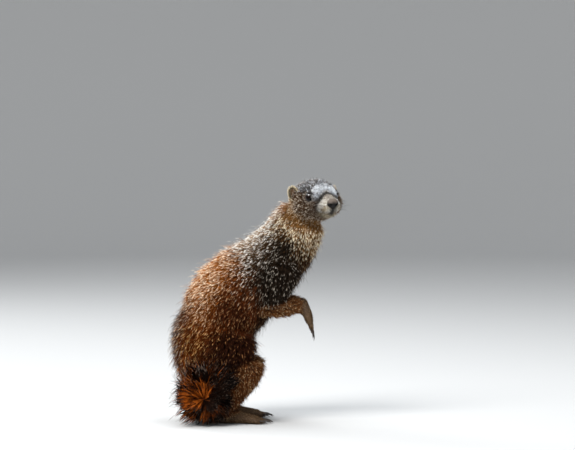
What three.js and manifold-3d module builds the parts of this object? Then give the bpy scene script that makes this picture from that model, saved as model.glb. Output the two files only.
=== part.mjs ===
// A yellow-bellied marmot, life size: it rears on its hind feet with its trunk leaning forward,
// its head turned to its right and its tail curled round on the ground beside its right foot.
// Millimetres. +X is the way the body faces, +Y its left side, +Z up, and Z = 0 the ground.
// The tables below are measured from a point on the ground under the rump.
// Every solid reaches out to the tips of the coat.

import * as THREE from "three";
import { mergeVertices } from "three/addons/utils/BufferGeometryUtils.js";
import Module from "manifold-3d";

const wasm = await Module();
wasm.setup();

const GAP = 0.3; // clearance kept between neighbouring solids
const SLIVER = 0.2; // facets finer than this, left by a cut, are merged
const RIGHT = -1; // sign of Y on the right side
const LEFT = 1;
const SIDES = { right: RIGHT, left: LEFT };

const HEAD_AT = new THREE.Vector3(187, 0, 397); // back of the skull, level with the nose
const HEAD_TURN = THREE.MathUtils.degToRad(-65); // the head looks to its right
const HEAD_NOD = THREE.MathUtils.degToRad(1.5); // positive lowers the nose
const HEAD_LEAN = THREE.MathUtils.degToRad(4); // positive lowers the right cheek

const EYE = { x: 58, y: 27.5, z: 14.5, radius: 6.6 };
const NOSE = { x: 99.5, z: 0.5, length: 5, width: 9, height: 6.5 };
const EAR = { x: 21, y: 40, z: 18, height: 14.5, width: 10.5, thickness: 2.6, cup: 5.5 };

const FOREPAW_AT = { x: 178, y: 37, z: 209 }; // the right wrist has the same values with y negative
const HINDFOOT_AT = { x: 28, y: 46, z: 0 }; // the heel, on the ground

const COLOURS = {
  grizzled: 0x7d6f60,
  rust: 0x8a4a20,
  buff: 0xb88a58,
  crown: 0x77706a,
  muzzle: 0xb5aa9a,
  tail: 0x7a3f18,
  feet: 0x4d3524,
  nose: 0x2b211c,
  eye: 0x0c0a0a,
  claw: 0x2e2823,
};

// Stations of the trunk and neck, from under the tail to the back of the skull: the middle, and how
// far the coat reaches from it towards the back, the belly and each side.
const TORSO = [
  { at: [6, 0, 75], up: 50, down: 44, side: 56 },
  { at: [9, 0, 109], up: 56, down: 50, side: 63 },
  { at: [16, 0, 149], up: 65, down: 57, side: 70 },
  { at: [31, 0, 187], up: 74, down: 63, side: 75 },
  { at: [55, 0, 222], up: 76, down: 67, side: 76 },
  { at: [87, 0, 255], up: 70, down: 63, side: 70 },
  { at: [118, 0, 283], up: 62, down: 57, side: 61 },
  { at: [144, 0, 311], up: 56, down: 53, side: 54 },
  { at: [162, 0, 340], up: 51, down: 48, side: 49 },
  { at: [175, -1, 367], up: 47, down: 43, side: 46 },
  { at: [186, -4, 391], up: 40, down: 37, side: 42 },
];

// The head in its own frame: x forward from the back of the skull, z = 0 level with the nose.
const HEAD = [
  { at: [-15, 0, -3], up: 34, down: 30, side: 38 },
  { at: [6, 0, -1], up: 37, down: 36, side: 43 },
  { at: [28, 0, -1], up: 40, down: 35, side: 46 },
  { at: [46, 0, -1], up: 39, down: 31, side: 43 },
  { at: [61, 0, -1], up: 32, down: 26, side: 34 },
  { at: [75, 0, -3], up: 23, down: 19, side: 25 },
  { at: [89, 0, -4], up: 16, down: 13, side: 21 },
  { at: [103, 0, -3], up: 11, down: 9, side: 16 },
];

const JAW = [
  { at: [26, 0, -22], up: 9, down: 13, side: 22 },
  { at: [46, 0, -22], up: 9, down: 12, side: 20 },
  { at: [64, 0, -21], up: 8, down: 9.5, side: 16 },
  { at: [80, 0, -19.5], up: 7, down: 7, side: 12.5 },
  { at: [93, 0, -18], up: 5, down: 5.5, side: 9 },
];

// Swellings and dents of the face, mirrored on both sides: centre, reach and how far out it pushes.
const FACE_FORMS = [
  { at: [36, 42, -16], reach: 22, push: 3.5 }, // cheek pouch
  { at: [53, 25, 29], reach: 9, push: 2.5 }, // brow over the eye
  { at: [60, 33, 13], reach: 9, push: -4 }, // eye socket
  { at: [70, 26, 2], reach: 9, push: -1.5 }, // hollow before the eye
  { at: [90, 15, -8], reach: 10, push: 2.5 }, // whisker pad
];

const TAIL = [
  { at: [-6, 2, 122], radius: 34 },
  { at: [-11, -6, 100], radius: 37 },
  { at: [-14, -16, 78], radius: 39 },
  { at: [-13, -34, 60], radius: 42 },
  { at: [-8, -56, 51], radius: 46 },
  { at: [-3, -80, 49], radius: 50 },
  { at: [0, -104, 49], radius: 50 },
  { at: [2, -128, 48], radius: 45 },
];
const TAIL_JOINTS = [2.4, 4.8]; // stations where one length of the tail meets the next
const NECK_BASE = { at: [140, 0, 301], towards: [0.5, 0, 0.866] }; // where the neck leaves the trunk

// Limbs of the left side. The right side has the same values with y negative.
const THIGH = [
  { at: [-8, 43, 153], up: 45, down: 45, side: 37 },
  { at: [20, 46, 147], up: 53, down: 53, side: 39 },
  { at: [50, 50, 131], up: 46, down: 46, side: 38 },
  { at: [76, 53, 109], up: 36, down: 36, side: 33 },
];
const SHANK = [
  { at: [84, 53, 116], radius: 30 },
  { at: [73, 51, 88], radius: 29 },
  { at: [55, 48, 60], radius: 24 },
  { at: [39, 46.5, 33], radius: 18.5 },
  { at: [31, 46, 10], radius: 16 },
];
const UPPER_ARM = [
  { at: [146, 38, 295], radius: 31 },
  { at: [136, 43, 267], radius: 32 },
  { at: [124, 47, 239], radius: 27 },
  { at: [117, 49, 211], radius: 21 },
];
const FOREARM = [
  { at: [104, 49, 217], radius: 20 },
  { at: [124, 47, 210], radius: 21 },
  { at: [145, 43, 208], radius: 18.5 },
  { at: [165, 39, 210], radius: 15 },
  { at: [182, 36.5, 209], radius: 13 },
];

// Feet, in frames of their own: x towards the toes, z towards the back of the foot.
const HINDFOOT = {
  sole: [
    { at: [-12, 0, 12], up: 13, down: 13, side: 14 },
    { at: [10, 0, 11], up: 17, down: 12, side: 15 },
    { at: [34, 0, 9], up: 12, down: 10, side: 16.5 },
    { at: [58, 0, 8], up: 9, down: 9, side: 17.5 },
    { at: [72, 0, 7], up: 6, down: 8, side: 15 },
  ],
  toes: 5,
  toeRoot: 48,
  toeLength: 34,
  toeRadius: 5.6,
  spread: 13, // from the middle toe to the outer one at the root
  splay: THREE.MathUtils.degToRad(13), // the outer toe's turn
  clawLength: 14,
  clawRadius: 2.3,
  heightAtRoot: 8,
  heightAtTip: 5.2,
};
const FOREPAW = {
  sole: [
    { at: [-12, 0, 0], up: 11, down: 11, side: 12 },
    { at: [4, 0, 0], up: 10, down: 10.5, side: 12.5 },
    { at: [20, 0, 0], up: 8, down: 9.5, side: 13.5 },
    { at: [34, 0, 0], up: 6, down: 8, side: 12.5 },
  ],
  toes: 4,
  toeRoot: 20,
  toeLength: 30,
  toeRadius: 4.9,
  spread: 10,
  splay: THREE.MathUtils.degToRad(9),
  clawLength: 15,
  clawRadius: 2.1,
  heightAtRoot: 0.5,
  heightAtTip: -4,
};
const FOREPAW_DROOP = THREE.MathUtils.degToRad(68); // the paw hangs down from the wrist
const HINDFOOT_TURN = THREE.MathUtils.degToRad(6); // toes a little outwards

// Facets round and along each kind of piece
const FACETS = {
  torso: [20, 20],
  head: [22, 18],
  jaw: [14, 8],
  thigh: [14, 8],
  shank: [12, 8],
  arm: [10, 8],
  sole: [10, 7],
  toe: [6, 5],
  claw: [5, 4],
  tail: [14, 14],
  eye: [12, 8],
  nose: [12, 7],
  ear: [14, 8],
};

const vector = (p) => new THREE.Vector3(...p);
const mirrored = (stations, side) =>
  stations.map((s) => ({ ...s, at: [s.at[0], s.at[1] * side, s.at[2]] }));

// A geometry with shared vertices and nothing but positions.
function welded(geometry) {
  geometry.deleteAttribute("normal");
  geometry.deleteAttribute("uv");
  return mergeVertices(geometry, 1e-4);
}

// A closed tube with rounded ends through the stations. bluntness near 2 gives an egg, more gives
// fuller ends. across is a direction that its sides keep to, and forms push the surface in or out.
function loft(stations, [around, along], { bluntness = 5, across = [0, 1, 0], forms = [] } = {}) {
  const middle = new THREE.CatmullRomCurve3(stations.map((s) => vector(s.at)));
  const reaches = new THREE.CatmullRomCurve3(
    stations.map((s) => new THREE.Vector3(s.up ?? s.radius, s.down ?? s.radius, s.side ?? s.radius)),
  );
  const geometry = welded(new THREE.SphereGeometry(1, around, along));
  const points = geometry.getAttribute("position");
  const unit = new THREE.Vector3();
  const leftHint = vector(across);
  for (let i = 0; i < points.count; i++) {
    unit.fromBufferAttribute(points, i);
    const depth = THREE.MathUtils.clamp(unit.y, -1, 1);
    const t = (1 + Math.sin((depth * Math.PI) / 2) * 0.35 + depth * 0.65) / 2;
    const fullness = Math.pow(Math.max(0, 1 - Math.pow(Math.abs(2 * t - 1), bluntness)), 1 / bluntness);
    const ring = Math.hypot(unit.x, unit.z) || 1;
    const centre = middle.getPoint(t);
    const size = reaches.getPoint(t);
    const forward = middle.getTangent(t);
    const up = new THREE.Vector3().crossVectors(forward, leftHint).normalize();
    const left = new THREE.Vector3().crossVectors(up, forward).normalize();
    const rise = unit.x / ring;
    const swing = unit.z / ring;
    const point = centre
      .clone()
      .addScaledVector(up, fullness * rise * (rise > 0 ? size.x : size.y))
      .addScaledVector(left, fullness * swing * size.z);
    pushOut(point, centre, forms);
    points.setXYZ(i, point.x, point.y, point.z);
  }
  return geometry;
}

function pushOut(point, centre, forms) {
  const outward = point.clone().sub(centre).normalize();
  let push = 0;
  for (const form of forms) {
    for (const side of [RIGHT, LEFT]) {
      const away = point.distanceTo(new THREE.Vector3(form.at[0], form.at[1] * side, form.at[2]));
      push += form.push * Math.exp(-((away / form.reach) ** 2));
    }
  }
  point.addScaledVector(outward, push);
}

function solid(geometry) {
  const made = new wasm.Manifold(
    new wasm.Mesh({
      numProp: 3,
      vertProperties: new Float32Array(geometry.getAttribute("position").array),
      triVerts: new Uint32Array(geometry.index.array),
    }),
  );
  if (made.volume() < 0) throw new Error("a loft is inside out");
  return made;
}

// The same shape, larger by the gap on every side, for cutting its neighbours.
function cutter(geometry, gap = GAP) {
  const grown = geometry.clone();
  grown.computeVertexNormals();
  const points = grown.getAttribute("position");
  const normals = grown.getAttribute("normal");
  for (let i = 0; i < points.count; i++) {
    points.setXYZ(
      i,
      points.getX(i) + normals.getX(i) * gap,
      points.getY(i) + normals.getY(i) * gap,
      points.getZ(i) + normals.getZ(i) * gap,
    );
  }
  grown.deleteAttribute("normal");
  return solid(grown);
}

function without(body, ...cutters) {
  return cutters.reduce((rest, c) => rest.subtract(c), body);
}

// The largest of the bodies that a cut leaves, so that no loose sliver stays.
function largest(body) {
  return body.decompose().reduce((a, b) => (b.volume() > a.volume() ? b : a));
}

function geometryOf(body) {
  const mesh = body.getMesh();
  const positions = new Float32Array(mesh.numVert * 3);
  for (let i = 0; i < mesh.numVert; i++) {
    const from = i * mesh.numProp;
    positions.set(mesh.vertProperties.subarray(from, from + 3), i * 3);
  }
  const geometry = new THREE.BufferGeometry();
  geometry.setAttribute("position", new THREE.BufferAttribute(positions, 3));
  geometry.setIndex(new THREE.BufferAttribute(mesh.triVerts, 1));
  geometry.computeVertexNormals();
  return geometry;
}

function piece(name, body, colour, roughness = 0.95) {
  const material = new THREE.MeshStandardMaterial({ color: colour, roughness, metalness: 0 });
  const mesh = new THREE.Mesh(geometryOf(largest(body).simplify(SLIVER)), material);
  mesh.name = name;
  return mesh;
}

// Everything under the ground, to cut the small flats that the animal rests on.
function groundCutter() {
  const size = 1000;
  const box = new THREE.BoxGeometry(size, size, size);
  box.translate(0, 0, -size / 2);
  return solid(welded(box));
}

function frameAt(position, turn, nod, lean = 0) {
  const group = new THREE.Group();
  group.position.copy(position);
  group.rotation.set(lean, nod, turn, "ZYX");
  group.updateMatrixWorld(true);
  return group;
}

function placed(geometry, frame) {
  return geometry.clone().applyMatrix4(frame.matrixWorld);
}

function earGeometry(side) {
  const geometry = welded(new THREE.SphereGeometry(1, ...FACETS.ear));
  const points = geometry.getAttribute("position");
  for (let i = 0; i < points.count; i++) {
    const across = points.getX(i);
    const tall = points.getY(i);
    const hollow = EAR.cup * (across ** 2 + 0.6 * tall ** 2 - 0.5);
    points.setXYZ(
      i,
      EAR.thickness * points.getZ(i) + hollow,
      EAR.width * across,
      EAR.height * tall,
    );
  }
  geometry.rotateZ(side * THREE.MathUtils.degToRad(38)); // the cup opens forward and outward
  geometry.rotateX(side * THREE.MathUtils.degToRad(-14)); // the tip leans outward
  geometry.translate(EAR.x, side * EAR.y, EAR.z);
  return invertedIfNeeded(geometry);
}

// Turns every face round if a mapping has mirrored the sphere.
function invertedIfNeeded(geometry) {
  const { index } = geometry;
  const points = geometry.getAttribute("position");
  const [a, b, c] = [0, 1, 2].map(() => new THREE.Vector3());
  let volume = 0;
  for (let i = 0; i < index.count; i += 3) {
    a.fromBufferAttribute(points, index.getX(i));
    b.fromBufferAttribute(points, index.getX(i + 1));
    c.fromBufferAttribute(points, index.getX(i + 2));
    volume += a.dot(b.cross(c));
  }
  if (volume < 0) {
    for (let i = 0; i < index.count; i += 3) {
      const second = index.getX(i + 1);
      index.setX(i + 1, index.getX(i + 2));
      index.setX(i + 2, second);
    }
  }
  return geometry;
}

function eyeGeometry(side) {
  const geometry = welded(new THREE.SphereGeometry(EYE.radius, ...FACETS.eye));
  geometry.translate(EYE.x, side * EYE.y, EYE.z);
  return geometry;
}

function noseGeometry() {
  const geometry = welded(new THREE.SphereGeometry(1, ...FACETS.nose));
  geometry.rotateZ(Math.PI / 2);
  geometry.scale(NOSE.length, NOSE.width, NOSE.height);
  geometry.translate(NOSE.x, 0, NOSE.z);
  return geometry;
}

function makeHead() {
  const group = frameAt(HEAD_AT, HEAD_TURN, HEAD_NOD, HEAD_LEAN);
  const skull = loft(HEAD, FACETS.head, { bluntness: 4, forms: FACE_FORMS });
  const jaw = loft(JAW, FACETS.jaw);
  const nose = noseGeometry();
  const eyes = { right: eyeGeometry(RIGHT), left: eyeGeometry(LEFT) };

  const face = without(solid(skull), cutter(nose), cutter(eyes.right), cutter(eyes.left));
  group.add(piece("head", face, COLOURS.crown));
  group.add(piece("lower_jaw", without(solid(jaw), cutter(skull)), COLOURS.muzzle));
  group.add(piece("nose", solid(nose), COLOURS.nose, 0.45));
  for (const [name, side] of Object.entries(SIDES)) {
    group.add(piece(`eye_${name}`, solid(eyes[name]), COLOURS.eye, 0.08));
    const ear = without(solid(earGeometry(side)), cutter(skull));
    group.add(piece(`ear_${name}`, ear, COLOURS.buff));
  }
  return { group, cutters: [cutter(placed(skull, group)), cutter(placed(jaw, group))] };
}

// A foot or paw with its toes joined on and each claw a piece of its own, in the frame of group.
function makeFoot(name, side, form, group, cutters) {
  const toCutters = group.matrixWorld.clone().invert();
  const local = cutters.map((c) => c.transform(toCutters.toArray()));
  let foot = solid(loft(form.sole, FACETS.sole));
  const middle = (form.toes - 1) / 2;
  const claws = [];
  for (let i = 0; i < form.toes; i++) {
    const share = ((i - middle) / middle) * side; // -1 to 1 over the toes, the first one innermost
    const turn = share * form.splay;
    const shorter = 1 - 0.22 * Math.abs(share) ** 2;
    const reach = form.toeLength * shorter;
    const along = (d) => [
      form.toeRoot + d * Math.cos(turn),
      share * form.spread + d * Math.sin(turn),
    ];
    const drop = form.heightAtTip - form.heightAtRoot;
    const toe = loft(
      [
        { at: [...along(-4), form.heightAtRoot], radius: form.toeRadius },
        { at: [...along(reach * 0.5), form.heightAtRoot + drop * 0.35], radius: form.toeRadius },
        { at: [...along(reach), form.heightAtTip], radius: form.toeRadius * 0.92 },
      ],
      FACETS.toe,
    );
    const claw = loft(
      [
        { at: [...along(reach - 5), form.heightAtTip + 0.8], radius: form.clawRadius },
        { at: [...along(reach + form.clawLength * 0.3), form.heightAtTip + 1.2], radius: form.clawRadius },
        {
          at: [...along(reach + form.clawLength * 0.7), form.heightAtTip - 0.6],
          radius: form.clawRadius * 0.75,
        },
        {
          at: [...along(reach + form.clawLength), form.heightAtTip - 3.2],
          radius: form.clawRadius * 0.4,
        },
      ],
      FACETS.claw,
    );
    foot = foot.add(solid(toe));
    claws.push({ claw, toe });
  }
  const shape = without(foot, ...local);
  group.add(piece(name, shape, COLOURS.feet));
  const ownCutters = [cutter(geometryWelded(shape)).transform(group.matrixWorld.toArray())];
  claws.forEach(({ claw, toe }, i) => {
    const free = without(solid(claw), cutter(toe), ...local);
    group.add(piece(`${name}_claw_${i + 1}`, free, COLOURS.claw, 0.4));
    ownCutters.push(cutter(claw).transform(group.matrixWorld.toArray()));
  });
  return ownCutters;
}

function geometryWelded(body) {
  const geometry = geometryOf(body);
  geometry.deleteAttribute("normal");
  return geometry;
}

function makeArm(name, side, torso) {
  const upper = loft(mirrored(UPPER_ARM, side), FACETS.arm);
  const fore = loft(mirrored(FOREARM, side), FACETS.arm);
  const group = new THREE.Group();
  group.add(piece(`upper_arm_${name}`, solid(upper), COLOURS.grizzled));
  const forearm = without(solid(fore), cutter(upper), torso);
  group.add(piece(`forearm_${name}`, forearm, COLOURS.rust));
  const wrist = new THREE.Vector3(FOREPAW_AT.x, FOREPAW_AT.y * side, FOREPAW_AT.z);
  const hand = frameAt(wrist, 0, FOREPAW_DROOP);
  makeFoot(`forepaw_${name}`, side, FOREPAW, hand, [cutter(fore)]);
  group.add(hand);
  return { group, cutters: [cutter(upper)] };
}

function makeLeg(name, side, ground) {
  const thigh = loft(mirrored(THIGH, side), FACETS.thigh, { bluntness: 3 });
  const shank = loft(mirrored(SHANK, side), FACETS.shank);
  const group = new THREE.Group();
  group.add(piece(`thigh_${name}`, solid(thigh), COLOURS.rust));
  const heel = new THREE.Vector3(HINDFOOT_AT.x, HINDFOOT_AT.y * side, HINDFOOT_AT.z);
  const foot = frameAt(heel, side * HINDFOOT_TURN, 0);
  const footCutters = makeFoot(`hindfoot_${name}`, side, HINDFOOT, foot, [ground]);
  group.add(foot);
  const lower = without(solid(shank), cutter(thigh), ...footCutters, ground);
  group.add(piece(`shank_${name}`, lower, COLOURS.rust));
  return { group, bodyCutters: [cutter(thigh)], tailCutters: [cutter(thigh), cutter(shank), ...footCutters] };
}

// The parts of a body before and after a plane, with the gap between them.
function split(body, point, direction) {
  const normal = direction.clone().normalize();
  const offset = normal.dot(point);
  const after = body.trimByPlane(normal.toArray(), offset + GAP / 2);
  const before = body.trimByPlane(normal.clone().negate().toArray(), -offset + GAP / 2);
  return [before, after];
}

function makeTail(cutters) {
  const group = new THREE.Group();
  const middle = new THREE.CatmullRomCurve3(TAIL.map((s) => vector(s.at)));
  const shape = loft(TAIL, FACETS.tail, { across: [1, 0, 0], bluntness: 5 });
  let rest = without(solid(shape), ...cutters);
  TAIL_JOINTS.forEach((joint, i) => {
    const t = joint / (TAIL.length - 1);
    const [before, after] = split(rest, middle.getPoint(t), middle.getTangent(t));
    group.add(piece(["tail_root", "tail_middle"][i], before, COLOURS.tail));
    rest = after;
  });
  group.add(piece("tail_end", rest, COLOURS.tail));
  return group;
}

function makeMarmot() {
  const marmot = new THREE.Group();
  const ground = groundCutter();
  const torsoShape = loft(TORSO, FACETS.torso);
  const torsoCutter = cutter(torsoShape);

  const head = makeHead();
  marmot.add(head.group);

  const limbCutters = [];
  const legCutters = [];
  for (const [name, side] of Object.entries(SIDES)) {
    const arm = makeArm(name, side, torsoCutter);
    const leg = makeLeg(name, side, ground);
    marmot.add(arm.group, leg.group);
    limbCutters.push(...arm.cutters, ...leg.bodyCutters);
    legCutters.push(...leg.tailCutters);
  }

  const torso = without(solid(torsoShape), ...limbCutters, ...head.cutters);
  const [trunk, neck] = split(torso, vector(NECK_BASE.at), vector(NECK_BASE.towards));
  marmot.add(piece("trunk", trunk, COLOURS.rust));
  marmot.add(piece("neck", neck, COLOURS.grizzled));
  marmot.add(makeTail([ground, torsoCutter, ...legCutters]));
  return marmot;
}

// The origin is on the ground under the middle of the whole animal.
function centred(group) {
  const box = new THREE.Box3().setFromObject(group, true);
  const centre = box.getCenter(new THREE.Vector3());
  group.position.set(-centre.x, -centre.y, -box.min.z);
  group.updateMatrixWorld(true);
  return group;
}

const marmot = centred(makeMarmot());

export default marmot;
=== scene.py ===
# A yellow-bellied marmot at life size, rearing on its hind feet with its head turned to its right.
# One skin is made from the frame's solids, and its coat is meshes of fine tufts rooted on it.
import math

import bmesh
import bpy
import numpy as np
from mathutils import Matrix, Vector
from mathutils.bvhtree import BVHTree
from mathutils.kdtree import KDTree


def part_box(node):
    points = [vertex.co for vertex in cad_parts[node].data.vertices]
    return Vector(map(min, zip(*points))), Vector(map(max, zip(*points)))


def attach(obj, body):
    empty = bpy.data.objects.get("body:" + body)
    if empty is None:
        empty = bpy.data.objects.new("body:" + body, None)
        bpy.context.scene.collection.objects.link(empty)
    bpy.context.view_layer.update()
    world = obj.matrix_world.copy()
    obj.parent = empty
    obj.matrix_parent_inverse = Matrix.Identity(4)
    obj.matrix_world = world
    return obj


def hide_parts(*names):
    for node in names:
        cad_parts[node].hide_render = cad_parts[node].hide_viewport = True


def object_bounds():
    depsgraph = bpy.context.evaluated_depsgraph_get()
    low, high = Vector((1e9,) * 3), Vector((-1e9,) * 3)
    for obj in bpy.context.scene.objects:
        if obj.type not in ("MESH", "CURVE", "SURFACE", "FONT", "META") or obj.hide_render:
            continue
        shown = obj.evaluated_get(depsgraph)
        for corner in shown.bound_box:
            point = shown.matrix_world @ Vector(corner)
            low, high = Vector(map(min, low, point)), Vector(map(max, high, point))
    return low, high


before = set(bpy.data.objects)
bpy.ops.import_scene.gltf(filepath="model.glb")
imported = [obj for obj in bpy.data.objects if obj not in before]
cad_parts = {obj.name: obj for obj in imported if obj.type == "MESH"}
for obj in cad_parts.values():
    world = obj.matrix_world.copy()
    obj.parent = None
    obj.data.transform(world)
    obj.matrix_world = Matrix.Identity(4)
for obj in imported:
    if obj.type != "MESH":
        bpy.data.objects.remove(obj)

mm = 0.001
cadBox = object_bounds()
sides = {"right": -1, "left": 1}


# Small tools for arrays and meshes

def unit(v):
    v = np.asarray(v, float)
    return v / np.maximum(np.linalg.norm(v, axis=-1, keepdims=True), 1e-12)


def dots(a, b):
    return np.sum(a * b, axis=-1, keepdims=True)


def ramp(x, low, high):  # from 0 at low to 1 at high, with soft ends
    t = np.clip((x - low) / (high - low), 0, 1)
    return t * t * (3 - 2 * t)


def bell(x, middle, reach):  # 1 at its middle, fading out to both sides
    return np.exp(-(((x - middle) / reach) ** 2))


def mound(a, b, middle, reach):  # 1 at its middle, fading out both ways
    return np.exp(-(((a - middle[0]) / reach[0]) ** 2 + ((b - middle[1]) / reach[1]) ** 2))


def mirrored(points):  # both sides of the head as one
    return np.column_stack([points[:, 0], np.abs(points[:, 1]), points[:, 2]])


def paint(red, green, blue):  # a colour as a screen shows it, turned into light
    c = np.array([red, green, blue]) / 255
    return np.where(c <= 0.04045, c / 12.92, ((c + 0.055) / 1.055) ** 2.4)


def noise(points, size, seed):  # soft blotches from 0 to 1, about as wide as size
    q = np.asarray(points) / size
    cell = np.floor(q).astype(np.int64)
    part = q - cell
    part = part * part * (3 - 2 * part)
    total = np.zeros(len(q))
    largest = 0x7FFFFFFF
    for corner in np.ndindex(2, 2, 2):
        c = cell + corner
        h = (c[:, 0] * 73856093) ^ (c[:, 1] * 19349663) ^ (c[:, 2] * 83492791) ^ (seed * 2654435761)
        h = ((h ^ (h >> 13)) * 1274126177) & largest
        h = ((h ^ (h >> 16)) * 668265263) & largest
        weight = np.prod(np.where(corner, part, 1 - part), axis=1)
        total += weight * h / largest
    return total


def curveThrough(points, count):  # evenly numbered points on a smooth curve
    p = np.asarray(points, float)
    p = np.vstack([2 * p[0] - p[1], p, 2 * p[-1] - p[-2]])
    places = []
    for t in np.linspace(0, len(p) - 3 - 1e-9, count):
        i = int(t)
        f = t - i
        a, b, c, d = p[i:i + 4]
        places.append(0.5 * (2 * b + (c - a) * f + (2 * a - 5 * b + 4 * c - d) * f * f
                             + (3 * b - 3 * c + d - a) * f ** 3))
    return np.array(places)


def nodeCentre(name):
    low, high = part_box(name)
    return (np.array(low) + np.array(high)) / 2


def meshArrays(mesh):
    co = np.empty(len(mesh.vertices) * 3)
    mesh.vertices.foreach_get("co", co)
    edges = np.empty(len(mesh.edges) * 2, int)
    mesh.edges.foreach_get("vertices", edges)
    return co.reshape(-1, 3), edges.reshape(-1, 2)


def paintMesh(mesh, colours):  # keeps a colour on each point of the mesh
    layer = mesh.color_attributes.new("coat", "FLOAT_COLOR", "POINT")
    values = np.column_stack([colours, np.ones(len(colours))])
    layer.data.foreach_set("color", values.astype(np.float32).ravel())


# The camera and the studio

camera = {
    "aim": (0.0517, 0.0217, 0.353),  # metres
    "elevation": 3.0,  # degrees above level
    "distance": 6.0,
    "frameWidth": 1.035,  # metres across the picture at the animal
    "sensor": 36.0,  # millimetres
    "farthest": 100,
}


def makeCamera():
    data = bpy.data.cameras.new("camera")
    data.sensor_width = camera["sensor"]
    data.lens = camera["sensor"] * camera["distance"] / camera["frameWidth"]
    data.clip_end = camera["farthest"]
    made = bpy.data.objects.new("camera", data)
    rise = math.radians(camera["elevation"])
    back = Vector((0, -math.cos(rise), math.sin(rise)))
    made.location = Vector(camera["aim"]) + back * camera["distance"]
    made.rotation_euler = back.to_track_quat("Z", "Y").to_euler()
    bpy.context.scene.collection.objects.link(made)
    bpy.context.scene.camera = made


studio = {
    "floor": (0.56, 0.56, 0.555),
    "floorPaler": 1.03,  # how much paler the floor is in places
    "floorGrain": 3.0,
    "floorRoughness": 0.9,
    "world": (0.88, 0.92, 0.97),
    "worldStrength": 0.42,
    "lights": [  # name, place, size in metres, watts, colour
        ("key", (-1.6, -2.55, 3.2), 2.5, 220, (1.0, 0.99, 0.975)),
        ("top", (0.1, 0.3, 3.0), 2.0, 60, (0.92, 0.96, 1.0)),
        ("fill", (2.4, -2.6, 1.3), 2.0, 12, (1.0, 0.97, 0.94)),
        ("rim", (-1.8, 2.2, 2.0), 1.2, 40, (0.95, 0.98, 1.0)),
    ],
    "lightsAim": (0, 0, 0.22),
    "floorRings": (0.3, 1.2, 3.0),  # metres out on the flat of the floor
    "wallAt": 7.5,  # metres from the animal, all round it
    "bend": 2.6,  # the floor turns up into the wall with this radius
    "bendSteps": 16,
    "around": 96,
}


def makeFloor():
    around, bend, steps = studio["around"], studio["bend"], studio["bendSteps"]
    profile = [(r, 0.0) for r in (*studio["floorRings"], studio["wallAt"] - bend)]
    for i in range(1, steps + 1):
        turn = math.pi / 2 * i / steps
        profile.append((studio["wallAt"] - bend * (1 - math.sin(turn)), bend * (1 - math.cos(turn))))
    turns = [2 * math.pi * k / around for k in range(around)]
    verts = [(0, 0, 0)] + [(r * math.cos(t), r * math.sin(t), z) for r, z in profile for t in turns]
    faces = [(0, 1 + k, 1 + (k + 1) % around) for k in range(around)]
    for i in range(len(profile) - 1):
        inner, outer = 1 + i * around, 1 + (i + 1) * around
        for k in range(around):
            n = (k + 1) % around
            faces.append((inner + k, outer + k, outer + n, inner + n))
    mesh = bpy.data.meshes.new("floor")
    mesh.from_pydata(verts, [], faces)
    mesh.shade_smooth()
    mesh.materials.append(floorMaterial())
    floor = bpy.data.objects.new("floor", mesh)
    bpy.context.scene.collection.objects.link(floor)


def makeLights():
    scene = bpy.context.scene
    scene.view_settings.view_transform = "Standard"
    world = bpy.data.worlds.new("studio")
    world.use_nodes = True
    background = world.node_tree.nodes["Background"]
    background.inputs["Color"].default_value = (*studio["world"], 1)
    background.inputs["Strength"].default_value = studio["worldStrength"]
    scene.world = world
    for name, place, size, watts, colour in studio["lights"]:
        data = bpy.data.lights.new(name, "AREA")
        data.shape = "DISK"
        data.size = size
        data.energy = watts
        data.color = colour
        light = bpy.data.objects.new(name, data)
        light.location = place
        light.visible_camera = False
        toAim = Vector(place) - Vector(studio["lightsAim"])
        light.rotation_euler = toAim.to_track_quat("Z", "Y").to_euler()
        scene.collection.objects.link(light)


def floorMaterial():
    material, shader, tree = newMaterial("studio_floor")
    grain = addNode(tree, "ShaderNodeTexNoise", Scale=studio["floorGrain"], Detail=2.0)
    addTwoTones(tree, shader, grain, studio["floor"], [c * studio["floorPaler"] for c in studio["floor"]])
    shader.inputs["Roughness"].default_value = studio["floorRoughness"]
    return material


# Materials

def newMaterial(name):
    material = bpy.data.materials.new(name)
    material.use_nodes = True
    tree = material.node_tree
    return material, tree.nodes["Principled BSDF"], tree


def addNode(tree, kind, **inputs):
    made = tree.nodes.new(kind)
    for name, value in inputs.items():
        made.inputs[name].default_value = value
    return made


def addTwoTones(tree, shader, mask, dark, pale):  # two colours, mixed by the mask, as the base colour
    mix = tree.nodes.new("ShaderNodeMix")
    mix.data_type = "RGBA"
    mix.inputs["A"].default_value = (*dark, 1)
    mix.inputs["B"].default_value = (*pale, 1)
    tree.links.new(mask.outputs["Fac"], mix.inputs["Factor"])
    tree.links.new(mix.outputs["Result"], shader.inputs["Base Color"])


def keptColour(tree):  # the colour that the mesh keeps on each point
    colour = tree.nodes.new("ShaderNodeVertexColor")
    colour.layer_name = "coat"
    return colour.outputs["Color"]


def addTexture(tree, kind, **inputs):  # a texture that goes by the place on the object
    place = tree.nodes.new("ShaderNodeTexCoord")
    texture = addNode(tree, kind, **inputs)
    tree.links.new(place.outputs["Object"], texture.inputs["Vector"])
    return texture


coatFinish = {
    "roughness": 0.6,
    "specular": 0.09,
    "streakSize": 1400.0,
    "streakFrom": (0.3, 0.7),  # the part of the noise that is used
    "streak": 0.25,  # how much darker and paler
}


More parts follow.
